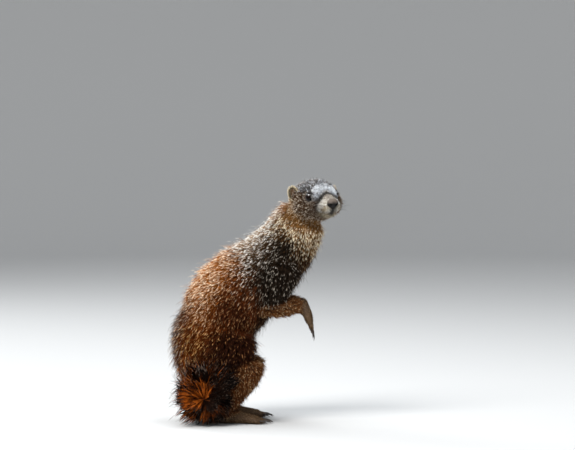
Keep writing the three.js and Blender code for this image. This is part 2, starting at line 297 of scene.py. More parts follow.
def coatMaterial():
    material, shader, tree = newMaterial("coat")
    streak = addTexture(tree, "ShaderNodeTexNoise", Scale=coatFinish["streakSize"], Detail=3.0)
    level = tree.nodes.new("ShaderNodeMapRange")
    ends = (*coatFinish["streakFrom"], 1 - coatFinish["streak"], 1 + coatFinish["streak"])
    for socket, value in zip(("From Min", "From Max", "To Min", "To Max"), ends):
        level.inputs[socket].default_value = value
    shade = tree.nodes.new("ShaderNodeVectorMath")
    shade.operation = "SCALE"
    tree.links.new(streak.outputs["Fac"], level.inputs["Value"])
    tree.links.new(keptColour(tree), shade.inputs[0])
    tree.links.new(level.outputs["Result"], shade.inputs["Scale"])
    tree.links.new(shade.outputs["Vector"], shader.inputs["Base Color"])
    shader.inputs["Roughness"].default_value = coatFinish["roughness"]
    shader.inputs["Specular IOR Level"].default_value = coatFinish["specular"]
    return material


skinFinish = {
    "roughness": 0.7,
    "poreSize": 900.0,
    "wrinkleSize": 260.0,
    "bump": 0.35,
    "bumpDepth": 0.6 * mm,
}


def skinMaterial():
    material, shader, tree = newMaterial("skin")
    pores = addTexture(tree, "ShaderNodeTexNoise", Scale=skinFinish["poreSize"], Detail=4.0)
    folds = addTexture(tree, "ShaderNodeTexVoronoi", Scale=skinFinish["wrinkleSize"])
    both = tree.nodes.new("ShaderNodeMath")
    both.operation = "ADD"
    bumps = addNode(tree, "ShaderNodeBump", Strength=skinFinish["bump"], Distance=skinFinish["bumpDepth"])
    tree.links.new(pores.outputs["Fac"], both.inputs[0])
    tree.links.new(folds.outputs["Distance"], both.inputs[1])
    tree.links.new(both.outputs["Value"], bumps.inputs["Height"])
    tree.links.new(bumps.outputs["Normal"], shader.inputs["Normal"])
    tree.links.new(keptColour(tree), shader.inputs["Base Color"])
    shader.inputs["Roughness"].default_value = skinFinish["roughness"]
    return material


def mottledMaterial(name, finish):  # one colour in a darker and a paler tone
    material, shader, tree = newMaterial(name)
    grain = addTexture(tree, "ShaderNodeTexNoise", Scale=finish["grainSize"], Detail=finish["grainDetail"])
    dark, pale = [paint(*finish["colour"]) * tone for tone in finish["tones"]]
    addTwoTones(tree, shader, grain, dark, pale)
    shader.inputs["Roughness"].default_value = finish["roughness"]
    shader.inputs["Specular IOR Level"].default_value = finish["specular"]
    shader.inputs["Coat Weight"].default_value = finish["gloss"]
    return material


# Landmarks of the head, measured from the eyes and the nose. Places on the head are in millimetres:
# forward from the back of the skull, to the left, and up from the level of the nose.

face = {
    "eyeAt": (58.0, 27.5, 14.5),
    "noseAt": (99.5, 0.0, 0.5),
    "earAt": (21.0, 40.0, 18.0),
    "mouthLine": [
        (91.5, 0, -16.0), (90.5, 5.5, -16.5), (86, 11, -17.0), (78, 17, -17.8), (70, 22.5, -19.5)],
}


def headFrame():
    right, left = nodeCentre("eye_right"), nodeCentre("eye_left")
    across = unit(left - right)
    middle = (left + right) / 2
    toNose = nodeCentre("nose") - middle
    toNose = unit(toNose - across * np.dot(toNose, across))
    rise = np.cross(toNose, across)
    drop = math.atan2(face["eyeAt"][2] - face["noseAt"][2], face["noseAt"][0] - face["eyeAt"][0])
    ahead = toNose * math.cos(drop) + rise * math.sin(drop)
    up = np.cross(ahead, across)
    origin = middle - (ahead * face["eyeAt"][0] + up * face["eyeAt"][2]) * mm
    return origin, np.array([ahead, across, up])


headOrigin, headAxes = headFrame()


def onHead(points):  # row metres to head millimetres
    return (np.asarray(points) - headOrigin) @ headAxes.T / mm


def fromHead(points):  # head millimetres to row metres
    return headOrigin + np.asarray(points, float) * mm @ headAxes


# The middle line of the body, from the rump to the top of the neck, and that of the tail

bodyShape = {
    "levels": 9, "inset": 0.03,  # metres from the ends of trunk and neck
    "band": 0.022,  # metres above and below a level that count as it
    "steps": 160, "evening": 30,
}


def bodyLine():
    cloud = np.vstack([meshArrays(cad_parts[name].data)[0] for name in ("trunk", "neck")])
    low, high = cloud[:, 2].min() + bodyShape["inset"], cloud[:, 2].max() - bodyShape["inset"]
    places = []
    for level in np.linspace(low, high, bodyShape["levels"]):
        band = cloud[np.abs(cloud[:, 2] - level) < bodyShape["band"]]
        places.append((band.min(0) + band.max(0)) / 2 * [1, 1, 0] + [0, 0, level])
    places = np.array(places)
    places[:, 1] = middleY
    line = curveThrough(places, bodyShape["steps"])
    for _ in range(bodyShape["evening"]):
        line[1:-1] = (line[:-2] + line[2:]) / 2
    return line


tailShape = {
    "rootRadius": 13, "tipRadius": 6.5,  # millimetres
    "ending": (0.95, 0.85, 0.65, 0.35),  # how its last rings close
    "inside": 0.35,  # how deep in the rump it starts
    "bendFrom": (0.008, 0.004, 0.004),  # metres from the middle of the tail's second solid
    "tipFrom": (0.002, -0.010),  # and from that of its last one
    "tipHeight": 0.98,  # of the height of the second solid
    "steps": 60,
}


def tailLine():
    rump = bodyPath[0]
    root, middle, end = (nodeCentre(n) for n in ("tail_root", "tail_middle", "tail_end"))
    start = rump * tailShape["inside"] + root * (1 - tailShape["inside"])
    tip = end * [1, 1, 0] + [*tailShape["tipFrom"], middle[2] * tailShape["tipHeight"]]
    return curveThrough([rump, start, middle + tailShape["bendFrom"], tip], tailShape["steps"])


middleY = nodeCentre("trunk")[1]
bodyPath = bodyLine()
bodyForward = unit(np.gradient(bodyPath, axis=0))
bodyBack = unit(np.cross(bodyForward, [0, 1, 0]))
tailPath = tailLine()
tailForward = unit(np.gradient(tailPath, axis=0))


def nearestOn(path, points):  # for each point, the number of the closest place on the path
    found = np.empty(len(points), int)
    batch = 20000
    for start in range(0, len(points), batch):
        part = points[start:start + batch]
        gap = ((part[:, None, :] - path[None]) ** 2).sum(-1)
        found[start:start + batch] = gap.argmin(1)
    return found


# The ears, thin cups with a rolled rim

ear = {  # millimetres, before the ear is turned outward
    "height": 13.8, "width": 9.2, "thin": 1.1,
    "cup": 5.8, "cupOval": 0.6, "cupLevel": 0.5,
    "rim": 1.5, "rimAt": (0.9, 0.09),  # middle and reach, as shares of the way out
    "groove": 2.4, "grooveAt": (0.72, 0.10),
    "ridge": 1.6, "ridgeAt": ((-0.05, -0.15), (0.20, 0.42)),  # outward and up, as shares of half the ear
    "opening": 3.2, "openingAt": ((-0.30, -0.62), (0.22, 0.22)),
    "outward": 38, "lean": -14,  # degrees
    "lower": {-1: (0, 0.5, 0.8), 1: (1.5, 2.0, 7.5)},  # right and left: back, in and down
    "hairFrom": -0.9,  # the low point that its hair runs from
    "rings": 22, "around": 56,
}


def spun(x, y, degrees):  # a pair of directions turned into each other
    angle = np.radians(degrees)
    return x * np.cos(angle) - y * np.sin(angle), x * np.sin(angle) + y * np.cos(angle)


def earMiddle(side):
    return (np.array(face["earAt"]) - ear["lower"][side]) * [1, side, 1]


def earHollow(a, b):
    return ear["cup"] * (a ** 2 + ear["cupOval"] * b ** 2 - ear["cupLevel"])


def earTurned(x, y, z, side):  # from the ear's own directions to the head's
    x, y = spun(x, y, side * ear["outward"])
    y, z = spun(y, z, side * ear["lean"])
    return np.stack([x, y, z], axis=-1)


def earPoints(side):
    t = np.linspace(0, 2 * math.pi, ear["around"], endpoint=False)
    rows = []
    for facing in (1, -1):  # the hollow in front, then the back
        for r in np.linspace(0.02, 1, ear["rings"])[::facing]:
            a, b = r * np.cos(t), r * np.sin(t)
            thick = ear["thin"] * math.sqrt(max(1 - r ** 2, 0))
            thick += ear["rim"] * bell(r, *ear["rimAt"]) * (1 - r ** 8)
            x = earHollow(a, b) + facing * thick
            if facing > 0:
                x -= ear["groove"] * bell(r, *ear["grooveAt"])
                x += ear["ridge"] * mound(a, b, *ear["ridgeAt"])
                x -= ear["opening"] * mound(side * a, b, *ear["openingAt"])
            rows.append(earTurned(x, ear["width"] * a, ear["height"] * b, side) + earMiddle(side))
    return np.array(rows)


def onEar(points):  # how far in front of the cup, towards the ear's front edge, and up, each 1 at its edge
    head = onHead(points)
    side = np.where(head[:, 1] < 0, -1, 1)
    x, y, z = (head - np.where(side[:, None] < 0, earMiddle(-1), earMiddle(1))).T
    y, z = spun(y, z, -side * ear["lean"])
    x, y = spun(x, y, -side * ear["outward"])
    a, b = y / ear["width"], z / ear["height"]
    return x - earHollow(a, b), -side * a, b


def earLies(points):  # hair on an ear runs from its low point to its rim
    _, a, b = onEar(points)
    side = np.where(onHead(points)[:, 1] < 0, -1, 1)
    outward = ear["cup"] * 2 * (a ** 2 + ear["cupOval"] * b ** 2)
    aside, up = ear["width"] * a * -side, ear["height"] * (b - ear["hairFrom"])
    return unit(earTurned(outward, aside, up, side)) @ headAxes


# The skin

regions = [
    "head", "neck", "trunk", "upperArm", "forearm", "forepaw", "thigh", "shank", "hindfoot", "tail", "ear",
]
regionOf = {
    "head": "head", "lower_jaw": "head", "nose": "head", "eye": "head", "neck": "neck",
    "trunk": "trunk", "upper_arm": "upperArm", "forearm": "forearm", "forepaw": "forepaw",
    "thigh": "thigh", "shank": "shank", "hindfoot": "hindfoot",
}
coatDepth = {  # millimetres from the skin out to the tips of the coat
    "head": 5.5, "neck": 11, "trunk": 13, "upperArm": 9, "forearm": 5, "forepaw": 1.2,
    "thigh": 11.5, "shank": 6.5, "hindfoot": 1.4, "tail": 0, "ear": 0,
}
skinShape = {
    "voxel": 1.9 * mm,
    "overlap": 0.3 * mm,
    "smoothing": 10, "spreading": 14, "jointSmoothing": 110,  # rounds
    "wristReach": 19 * mm,
    "skullDepth": 6.5, "muzzleLess": 4.6, "crownLess": 1.5,  # millimetres
    "lowest": 0.0002,
}


def nodeRegion(name):
    for start, region in regionOf.items():
        if name.startswith(start) and "claw" not in name:
            return region
    return None


def vertexNormals(mesh):
    normals = np.empty(len(mesh.vertices) * 3, np.float32)
    mesh.vertex_normals.foreach_get("vector", normals)
    return normals.reshape(-1, 3).astype(float)


def spread(values, edges, times, share=0.5):  # evens values out between neighbours
    values = np.array(values, float)
    if values.ndim == 1:
        return spread(values[:, None], edges, times, share)[:, 0]
    count = len(values)
    a, b = edges.T
    near = np.maximum(np.bincount(a, minlength=count) + np.bincount(b, minlength=count), 1)
    share = np.broadcast_to(np.asarray(share, float), (count,))
    for _ in range(times):
        for k in range(values.shape[1]):
            v = values[:, k]
            total = np.bincount(a, v[b], count) + np.bincount(b, v[a], count)
            values[:, k] = v + share * (total / near - v)
    return values


def remeshed(mesh, voxel):
    holder = bpy.data.objects.new("remesh", mesh)
    bpy.context.scene.collection.objects.link(holder)
    modifier = holder.modifiers.new("remesh", "REMESH")
    modifier.mode = "VOXEL"
    modifier.voxel_size = voxel
    graph = bpy.context.evaluated_depsgraph_get()
    made = bpy.data.meshes.new_from_object(holder.evaluated_get(graph))
    bpy.data.objects.remove(holder)
    return made


def nodeMesh(names, growth):  # the solids of these nodes as one mesh, each a little larger
    whole = bmesh.new()
    for name in names:
        part = bmesh.new()
        part.from_mesh(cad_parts[name].data)
        bmesh.ops.remove_doubles(part, verts=part.verts, dist=1e-6)
        part.normal_update()
        for v in part.verts:
            v.co += v.normal * growth
        scratch = bpy.data.meshes.new("scratch")
        part.to_mesh(scratch)
        whole.from_mesh(scratch)
        bpy.data.meshes.remove(scratch)
        part.free()
    made = bpy.data.meshes.new("flesh")
    whole.to_mesh(made)
    whole.free()
    return made


def regionWeights(points, names):  # which region the nearest solid belongs to
    verts, faces, owner = [], [], []
    for name in names:
        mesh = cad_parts[name].data
        start = len(verts)
        verts.extend(v.co[:] for v in mesh.vertices)
        faces.extend([start + i for i in p.vertices] for p in mesh.polygons)
        owner.extend([regions.index(nodeRegion(name))] * len(mesh.polygons))
    tree = BVHTree.FromPolygons(verts, faces)
    weights = np.zeros((len(points), len(regions)))
    for i, point in enumerate(points):
        weights[i, owner[tree.find_nearest(Vector(point))[2]]] = 1
    return weights


def tubeAlong(path, radii, around=20):  # a closed round tube
    forward = unit(np.gradient(path, axis=0))
    across = unit(np.cross(forward, [0.3, 0.1, 1.0]))
    up = np.cross(across, forward)
    turns = np.linspace(0, 2 * math.pi, around, endpoint=False)
    rings = [p + r * (np.cos(t) * a + np.sin(t) * u)
             for p, r, a, u in zip(path, radii, across, up) for t in turns]
    faces = []
    for i in range(len(path) - 1):
        for j in range(around):
            k = (j + 1) % around
            faces.append((i * around + j, i * around + k, (i + 1) * around + k, (i + 1) * around + j))
    faces.append(tuple(reversed(range(around))))
    faces.append(tuple(range((len(path) - 1) * around, len(path) * around)))
    return rings, faces


faceForms = [  # millimetres outward, then where and how far each reaches: ahead, to a side and up
    (2.2, (88, 9), (12, 6), (-7, 6)),  # whisker pads
    (-1.8, (76, 7), (20, 7), (3, 6)),  # hollow before the eye
    (1.6, (52, 9), (27, 6), (25, 5)),  # brow
    (1.5, (42, 14), (38, 12), (-10, 10)),  # cheek
    (1.6, (93, 8), (5, 5), (-12, 3.5)),  # upper lip
]
faceCuts = {"lipCleft": 2.2, "forehead": 3.2, "mouth": 2.4, "mouthWidth": 2.0}  # millimetres


def sculptHead(points, normals, weight):  # the forms of the face that show through short hair
    h = mirrored(onHead(points))
    x, width, z = h.T
    push = np.zeros(len(points))
    for out, ahead, sideways, up in faceForms:
        push += out * bell(x, *ahead) * bell(width, *sideways) * bell(z, *up)
    cleft = bell(width, 0, 2.4) * bell(x, 96, 10) * ramp(-z, 3, 7) * (1 - ramp(-z, 15, 17))
    push -= faceCuts["lipCleft"] * cleft
    push -= faceCuts["forehead"] * bell(x, 56, 20) * bell(width, 0, 20) * ramp(z, 18, 28)
    line = curveThrough(face["mouthLine"], 40)
    away = np.sqrt(((h[:, None, :] - line[None]) ** 2).sum(-1).min(1))
    push -= faceCuts["mouth"] * bell(away, 0, faceCuts["mouthWidth"])
    return points + normals * (push * weight * mm)[:, None]


eyeShape = {
    "radius": 7.0, "sunk": 3.3,  # millimetres
    "gaze": (0.38, 0.91, 0.15),
    "socket": 5.6, "rim": 7.6, "rimFrom": (42, 66),  # millimetres, and degrees from the gaze
    "socketAngle": (62, 86), "socketReach": (11, 16),  # where the socket fades into the face
    "bare": 60,  # degrees from the gaze that have no hair
}


def sculptSockets(points):  # the skin passes behind each eyeball and rises round it
    h = onHead(points)
    for side in sides.values():
        gaze = unit(np.array(eyeShape["gaze"]) * [1, side, 1])
        centre = np.array(face["eyeAt"]) * [1, side, 1] - gaze * eyeShape["sunk"]
        out = h - centre
        distance = np.maximum(np.linalg.norm(out, axis=1), 1e-6)
        angle = np.degrees(np.arccos(np.clip(out @ gaze / distance, -1, 1)))
        rise = eyeShape["rim"] - eyeShape["socket"]
        target = eyeShape["socket"] + rise * ramp(angle, *eyeShape["rimFrom"])
        hold = (1 - ramp(angle, *eyeShape["socketAngle"])) * (1 - ramp(distance, *eyeShape["socketReach"]))
        h = h + out / distance[:, None] * ((target - distance) * hold)[:, None]
    return fromHead(h)


paws = ["forepaw_right", "forepaw_left", "hindfoot_right", "hindfoot_left"]
toes = {"groove": 2.2 * mm, "width": 1.5 * mm, "length": 17 * mm, "ahead": -8 * mm, "near": 14 * mm}


def clawNodes(paw):
    return sorted(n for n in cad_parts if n.startswith(paw + "_claw"))


def sculptToes(points, normals, weight):  # grooves from between two claws back over the paw
    push = np.zeros(len(points))
    for paw in paws:
        claws = [nodeCentre(n) for n in clawNodes(paw)]
        for a, b in zip(claws[:-1], claws[1:]):
            out = points - (a + b) / 2
            way = unit(nodeCentre(paw) - (a + b) / 2)
            across = unit((b - a) - way * np.dot(b - a, way))
            along = dots(out, way)[:, 0]
            aside = np.linalg.norm(out - along[:, None] * way, axis=1)
            near = (aside < toes["near"]) * (along > toes["ahead"])
            fading = 1 - ramp(along, 0.4 * toes["length"], toes["length"])
            push -= near * bell(dots(out, across)[:, 0], 0, toes["width"]) * fading
    return points + normals * (push * toes["groove"] * weight)[:, None]


noseShape = {  # millimetres
    "at": (98.0, 0, 1.9), "radii": (6.8, 10.5, 8.7),
    "narrower": 0.22,  # towards its foot
    "nostril": (5.2, -2.2), "nostrilSize": (2.7, 1.6), "nostrilDepth": 4.2, "slant": 0.35,
    "wing": 0.9, "wingFrom": (1.2, 2.2), "wingSize": (3.4, 2.4),
    "cleft": 1.3, "cleftWidth": 0.9,
    "behind": 5.5,  # how far the skin keeps back from it
    # the paler top is partly the nose's own colour, partly painted light from above; the pit colour is
    # partly painted shade in the nostrils
    "top": (98, 87, 78), "side": (20, 16, 15), "pit": (2, 1, 1),
    "roughness": 0.6, "specular": 0.28, "pebbles": 1500.0, "bump": 0.5, "bumpDepth": 0.4 * mm,
}


def behindNose(points):  # the skin keeps inside the nose pad, whose nostrils are deep
    h = onHead(points)
    out = (h - np.array(noseShape["at"])) / noseShape["radii"]
    gap = np.linalg.norm(out, axis=1)
    h[:, 0] -= noseShape["behind"] * (1 - ramp(gap, 0.9, 1.25)) * ramp(out[:, 0], -0.1, 0.3)
    return fromHead(h)


def weightOf(weights, *names):
    return sum(weights[:, regions.index(n)] for n in names)


def weightRows(count, region):
    rows = np.zeros((count, len(regions)))
    rows[:, regions.index(region)] = 1
    return rows


def wristOf(points, weights, side):  # the middle of the place where a forearm and its paw share the skin
    onSide = np.where(points[:, 1] < middleY, -1, 1) == side
    both = weightOf(weights, "forepaw") * weightOf(weights, "forearm") * onSide
    return (points * both[:, None]).sum(0) / both.sum()


def fleshSurface():  # head, body and limbs as one even surface, sunk by the depth of the coat
    names = [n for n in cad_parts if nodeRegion(n) and not n.startswith("tail")]
    mesh = remeshed(nodeMesh(names, skinShape["overlap"]), skinShape["voxel"])
    points, edges = meshArrays(mesh)
    weights = spread(regionWeights(points, names), edges, skinShape["spreading"])
    headWeight = weightOf(weights, "head")
    pawWeight = weightOf(weights, "forepaw", "hindfoot")
    softness = 0.5 * (1 - 0.75 * np.clip(headWeight, 0, 1)) * (1 - 0.85 * np.clip(pawWeight, 0, 1))
    points = spread(points, edges, skinShape["smoothing"], softness)
    wrist = np.zeros(len(points))
    for side in sides.values():
        gap = np.linalg.norm(points - wristOf(points, weights, side), axis=1)
        wrist += bell(gap, 0, skinShape["wristReach"])
    ankle = 2 * weightOf(weights, "hindfoot") * weightOf(weights, "shank")
    points = spread(points, edges, skinShape["jointSmoothing"], 0.5 * np.clip(wrist + ankle, 0, 1))
    mesh.vertices.foreach_set("co", points.ravel())
    mesh.update()
    normals = unit(spread(vertexNormals(mesh), edges, 4))
    h = onHead(points)
    lessOnMuzzle = skinShape["muzzleLess"] * ramp(h[:, 0], 62, 84)
    headDepth = skinShape["skullDepth"] - lessOnMuzzle - skinShape["crownLess"] * ramp(h[:, 2], 20, 34)
    depth = weights @ np.array([coatDepth[r] for r in regions])
    depth = depth * (1 - headWeight) + headWeight * headDepth
    sole = ramp(-normals[:, 2], 0.55, 0.9) * (1 - ramp(points[:, 2], 0.001, 0.005))
    depth *= 1 - sole
    points = points - normals * (depth * mm)[:, None]
    mesh.vertices.foreach_set("co", points.ravel())
    mesh.update()
    return mesh, points, weights


def withTail(mesh, points, weights):  # the surface with the tail grown on, and the share of each region
    radii = np.linspace(tailShape["rootRadius"], tailShape["tipRadius"], len(tailPath)) * mm
    radii[-len(tailShape["ending"]):] *= tailShape["ending"]
    tube, tubeFaces = tubeAlong(tailPath, radii)
    both = bmesh.new()
    both.from_mesh(mesh)
    added = [both.verts.new(p) for p in tube]
    for f in tubeFaces:
        both.faces.new([added[i] for i in f])
    joined = bpy.data.meshes.new("joined")
    both.to_mesh(joined)
    both.free()
    whole = remeshed(joined, skinShape["voxel"])
    known = np.vstack([points, tube])
    knownWeights = np.vstack([weights, weightRows(len(tube), "tail")])
    lookup = KDTree(len(known))
    for i, p in enumerate(known):
        lookup.insert(p, i)
    lookup.balance()
    points, edges = meshArrays(whole)
    weights = spread(knownWeights[[lookup.find(p)[1] for p in points]], edges, 4)
    pawWeight = np.clip(weightOf(weights, "forepaw", "hindfoot"), 0, 1)
    points = spread(points, edges, 3, 0.5 * (1 - 0.8 * pawWeight))
    whole.vertices.foreach_set("co", points.ravel())
    whole.update()
    return whole, points, weights


def makeSkinMesh():
    surface, points, weights = withTail(*fleshSurface())
    points = sculptHead(points, vertexNormals(surface), np.clip(weightOf(weights, "head"), 0, 1))
    pawWeight = np.clip(weightOf(weights, "forepaw", "hindfoot"), 0, 1)
    points = sculptToes(points, vertexNormals(surface), pawWeight)
    points = behindNose(sculptSockets(points))
    points[:, 2] = np.maximum(points[:, 2], skinShape["lowest"])
    faces = [list(f.vertices) for f in surface.polygons]
    for side in sides.values():
        rows = earPoints(side)
        mesh = gridMesh("ear", fromHead(rows.reshape(-1, 3)).reshape(rows.shape))
        faces += [[len(points) + v for v in f.vertices] for f in mesh.polygons]
        points = np.vstack([points, meshArrays(mesh)[0]])
        weights = np.vstack([weights, weightRows(len(mesh.vertices), "ear")])
    made = bpy.data.meshes.new("skin")
    made.from_pydata(points.tolist(), [], faces)
    made.update()
    made.shade_smooth()
    return made, weights


# Where a place is on the animal, for its colour and for the lie of its coat

def mapOf(points, weights):
    spot = nearestOn(bodyPath, points)
    out = unit(points - bodyPath[spot])
    tailSpot = nearestOn(tailPath, points)
    head = onHead(points)
    gaze = unit(eyeShape["gaze"])
    outOfEye = mirrored(head) - (np.array(face["eyeAt"]) - gaze * eyeShape["sunk"])
    turn = np.degrees(np.arccos(np.clip(unit(outOfEye) @ gaze, -1, 1)))
    return {
        "lock": np.full(len(points), 0.5),  # a number from 0 to 1 that the hairs of a lock share
        "points": points,
        "weights": weights,
        "spot": spot,
        "along": spot / (len(bodyPath) - 1),  # 0 at the rump, 1 at the top of the neck
        "back": dots(out, bodyBack[spot])[:, 0],  # 1 on the spine, -1 on the belly
        "tailSpot": tailSpot,
        "tailAlong": tailSpot / (len(tailPath) - 1),
        "head": head,
        "side": np.where(points[:, 1] < middleY, -1, 1),
        "eyeGap": np.linalg.norm(mirrored(head) - face["eyeAt"], axis=1),
        "onLids": (np.linalg.norm(outOfEye, axis=1) < 12) & (turn < eyeShape["bare"]),  # bare skin
    }


def share(at, *names):
    return np.clip(weightOf(at["weights"], *names), 0, 1)


# Colours of the hair, as a screen shows them: by the skin, halfway, a dark tip, a pale tip, and how
# many of the tips are pale

shades = {
    "flank": ((26, 11, 3), (126, 60, 12), (84, 37, 7), (222, 172, 124), 0.22),
    # the flank's deeper rust: partly its own colour, partly painted shade
    "dark shaded flank": ((10, 4, 1), (54, 23, 5), (34, 14, 4), (138, 96, 60), 0.14),
    # painted shade: darker than the haunch's own reddish-brown fur, for the shade low on the body
    "shaded haunch": ((10, 4, 2), (54, 23, 6), (32, 14, 4), (156, 108, 66), 0.09),
    "grizzled": ((22, 15, 9), (80, 58, 37), (40, 29, 18), (246, 240, 232), 0.33),
    # paler grizzled on top of the body and darker low on it: partly the coat's own colours, partly painted
    # light from above and painted shade below
    "pale lit grizzled": ((46, 33, 20), (156, 124, 90), (90, 67, 44), (255, 253, 246), 0.68),
    "dark shaded grizzled": ((10, 7, 4), (38, 27, 17), (20, 15, 8), (172, 162, 148), 0.14),
    "orange back": ((48, 26, 8), (188, 116, 50), (120, 66, 23), (253, 230, 198), 0.52),
    "golden": ((24, 11, 3), (120, 60, 12), (76, 37, 7), (228, 176, 106), 0.23),
    "grey edge": ((20, 15, 12), (62, 46, 36), (36, 28, 23), (180, 167, 157), 0.30),
    # the belly's own fur is paler and yellowish; this dark brown is painted shade under the body
    "belly": ((16, 9, 5), (54, 33, 17), (38, 24, 13), (136, 104, 72), 0.18),
    "neck": ((42, 26, 11), (150, 106, 58), (78, 50, 24), (255, 243, 212), 0.60),
    "nape": ((44, 27, 14), (148, 100, 58), (82, 57, 37), (244, 232, 216), 0.50),
    "arm": ((40, 23, 12), (120, 74, 38), (86, 53, 28), (196, 162, 120), 0.24),
    "foot": ((38, 26, 17), (112, 82, 54), (82, 60, 40), (172, 142, 106), 0.30),
    "cheek": ((24, 17, 11), (84, 61, 42), (38, 27, 18), (216, 203, 184), 0.39),
    "crown": ((30, 29, 29), (86, 85, 86), (46, 45, 46), (226, 230, 236), 0.34),
    "white": ((90, 93, 99), (192, 197, 204), (138, 144, 153), (250, 253, 255), 0.58),
    # dark markings of the face, also used as painted shade round the philtrum
    "dark arch and shade": ((12, 9, 8), (26, 20, 17), (20, 16, 14), (44, 36, 32), 0.15),
    "bridge": ((62, 54, 46), (140, 129, 115), (100, 90, 79), (210, 203, 192), 0.42),
    "muzzle": ((78, 67, 52), (214, 205, 186), (102, 86, 64), (255, 254, 250), 0.66),
    "straw": ((96, 74, 42), (168, 138, 90), (138, 108, 66), (212, 192, 144), 0.40),
    # a dark marking of the face, also used as painted shade in the ear and below it
    "eye stripe and shade": ((18, 11, 8), (54, 36, 25), (34, 22, 16), (92, 68, 50), 0.15),
    "chin": ((96, 84, 68), (170, 156, 130), (140, 124, 98), (222, 212, 190), 0.45),
    "ear rim": ((140, 118, 88), (206, 188, 150), (190, 168, 130), (238, 226, 196), 0.55),
    "ear inside": ((84, 60, 43), (126, 96, 68), (98, 72, 50), (190, 166, 128), 0.30),
    "tail": ((104, 48, 10), (104, 50, 13), (24, 12, 7), (138, 110, 88), 0.30),
    "tail tip": ((120, 58, 12), (178, 90, 24), (112, 52, 12), (176, 104, 44), 0.45),
    # the tail's dark base, nearly black: partly its own dark hair, partly painted shade
    "tail ring": ((30, 13, 5), (34, 17, 8), (11, 6, 4), (156, 134, 120), 0.26),
}
shadeKeys = ["under", "middle", "dark", "pale"]


def startLook(count, name):
    look = {k: np.tile(paint(*shades[name][i]), (count, 1)) for i, k in enumerate(shadeKeys)}
    look["share"] = np.full(count, float(shades[name][4]))
    return look


def lay(look, name, amount):
    amount = np.clip(amount, 0, 1)
    for i, key in enumerate(shadeKeys):
        look[key] += amount[:, None] * (paint(*shades[name][i]) - look[key])
    look["share"] += amount * (shades[name][4] - look["share"])


def nearLine(points, line, reach):  # 1 on a line of points, fading out over reach
    line = curveThrough(line, 24)
    gap = np.sqrt(((points[:, None, :] - line[None]) ** 2).sum(-1).min(1))
    return 1 - ramp(gap, reach * 0.45, reach)


def bodyLook(at):
    along, back = at["along"], at["back"]
    blotch = noise(at["points"], 0.022, 1) - 0.5
    small = noise(at["points"], 0.009, 2) - 0.5
    along = along + 0.05 * blotch + 0.03 * small
    back = back + 0.12 * blotch
    look = startLook(len(along), "flank")
    # darker in the middle of the flank and low on it: partly its own deeper rust, partly painted shade
    lay(look, "dark shaded flank", 0.9 * bell(along, 0.37, 0.11) * bell(back, 0.05, 0.42))
    lay(look, "dark shaded flank", 0.9 * bell(along, 0.34, 0.13) * bell(back, -0.38, 0.34))
    lay(look, "golden", ramp(back, -0.25, 0.15) * bell(along, 0.10, 0.10))
    lay(look, "orange back", ramp(back, 0.30, 0.66) * bell(along, 0.46, 0.17))
    front = ramp(along, 0.47 + 0.09 * ramp(back, 0.2, 0.8), 0.66 + 0.08 * ramp(back, 0.2, 0.8))
    lay(look, "grizzled", front)
    # paler toward the spine and darker low on the side: partly its own colours, partly painted light from
    # above and painted shade below
    lay(look, "pale lit grizzled", front * ramp(back, 0.30, 0.75))
    lay(look, "dark shaded grizzled", ramp(along, 0.44, 0.62) * ramp(-back, -0.25, 0.15))
    # painted shade: the belly is laid on in a dark brown that stands for the shade under the body
    lay(look, "belly", ramp(-back, 0.58, 0.85))
    lay(look, "neck", ramp(along, 0.82, 0.93) * (1 - ramp(back, 0.40, 0.70)))
    lay(look, "nape", ramp(along, 0.90, 0.98) * ramp(back, 0.40, 0.70))
    lay(look, "grey edge", 0.9 * ramp(back + 0.10 * small, 0.72, 0.97) * (1 - ramp(along, 0.24, 0.44)))
    # more pale tips in a narrow streak along the upper flank
    paleStreak = bell(back, 0.76, 0.05) * bell(along, 0.46, 0.07)
    look["share"] += 0.4 * paleStreak
    height = at["points"][:, 2] + 0.02 * blotch
    # the upper arm is grizzled above; its lower part is darkened as painted shade under the body
    lay(look, "grizzled", share(at, "upperArm") * ramp(height, 0.27, 0.32))
    lay(look, "dark shaded grizzled", share(at, "upperArm") * (1 - ramp(height, 0.265, 0.315)))
    # painted shade on the thigh: darker than its own reddish-brown fur
    lay(look, "shaded haunch", share(at, "thigh") * ramp(-back, -0.35, 0.15))
    lay(look, "arm", share(at, "forearm"))
    lay(look, "arm", share(at, "shank") * 0.7)
    lay(look, "foot", share(at, "forepaw", "hindfoot"))
    return look


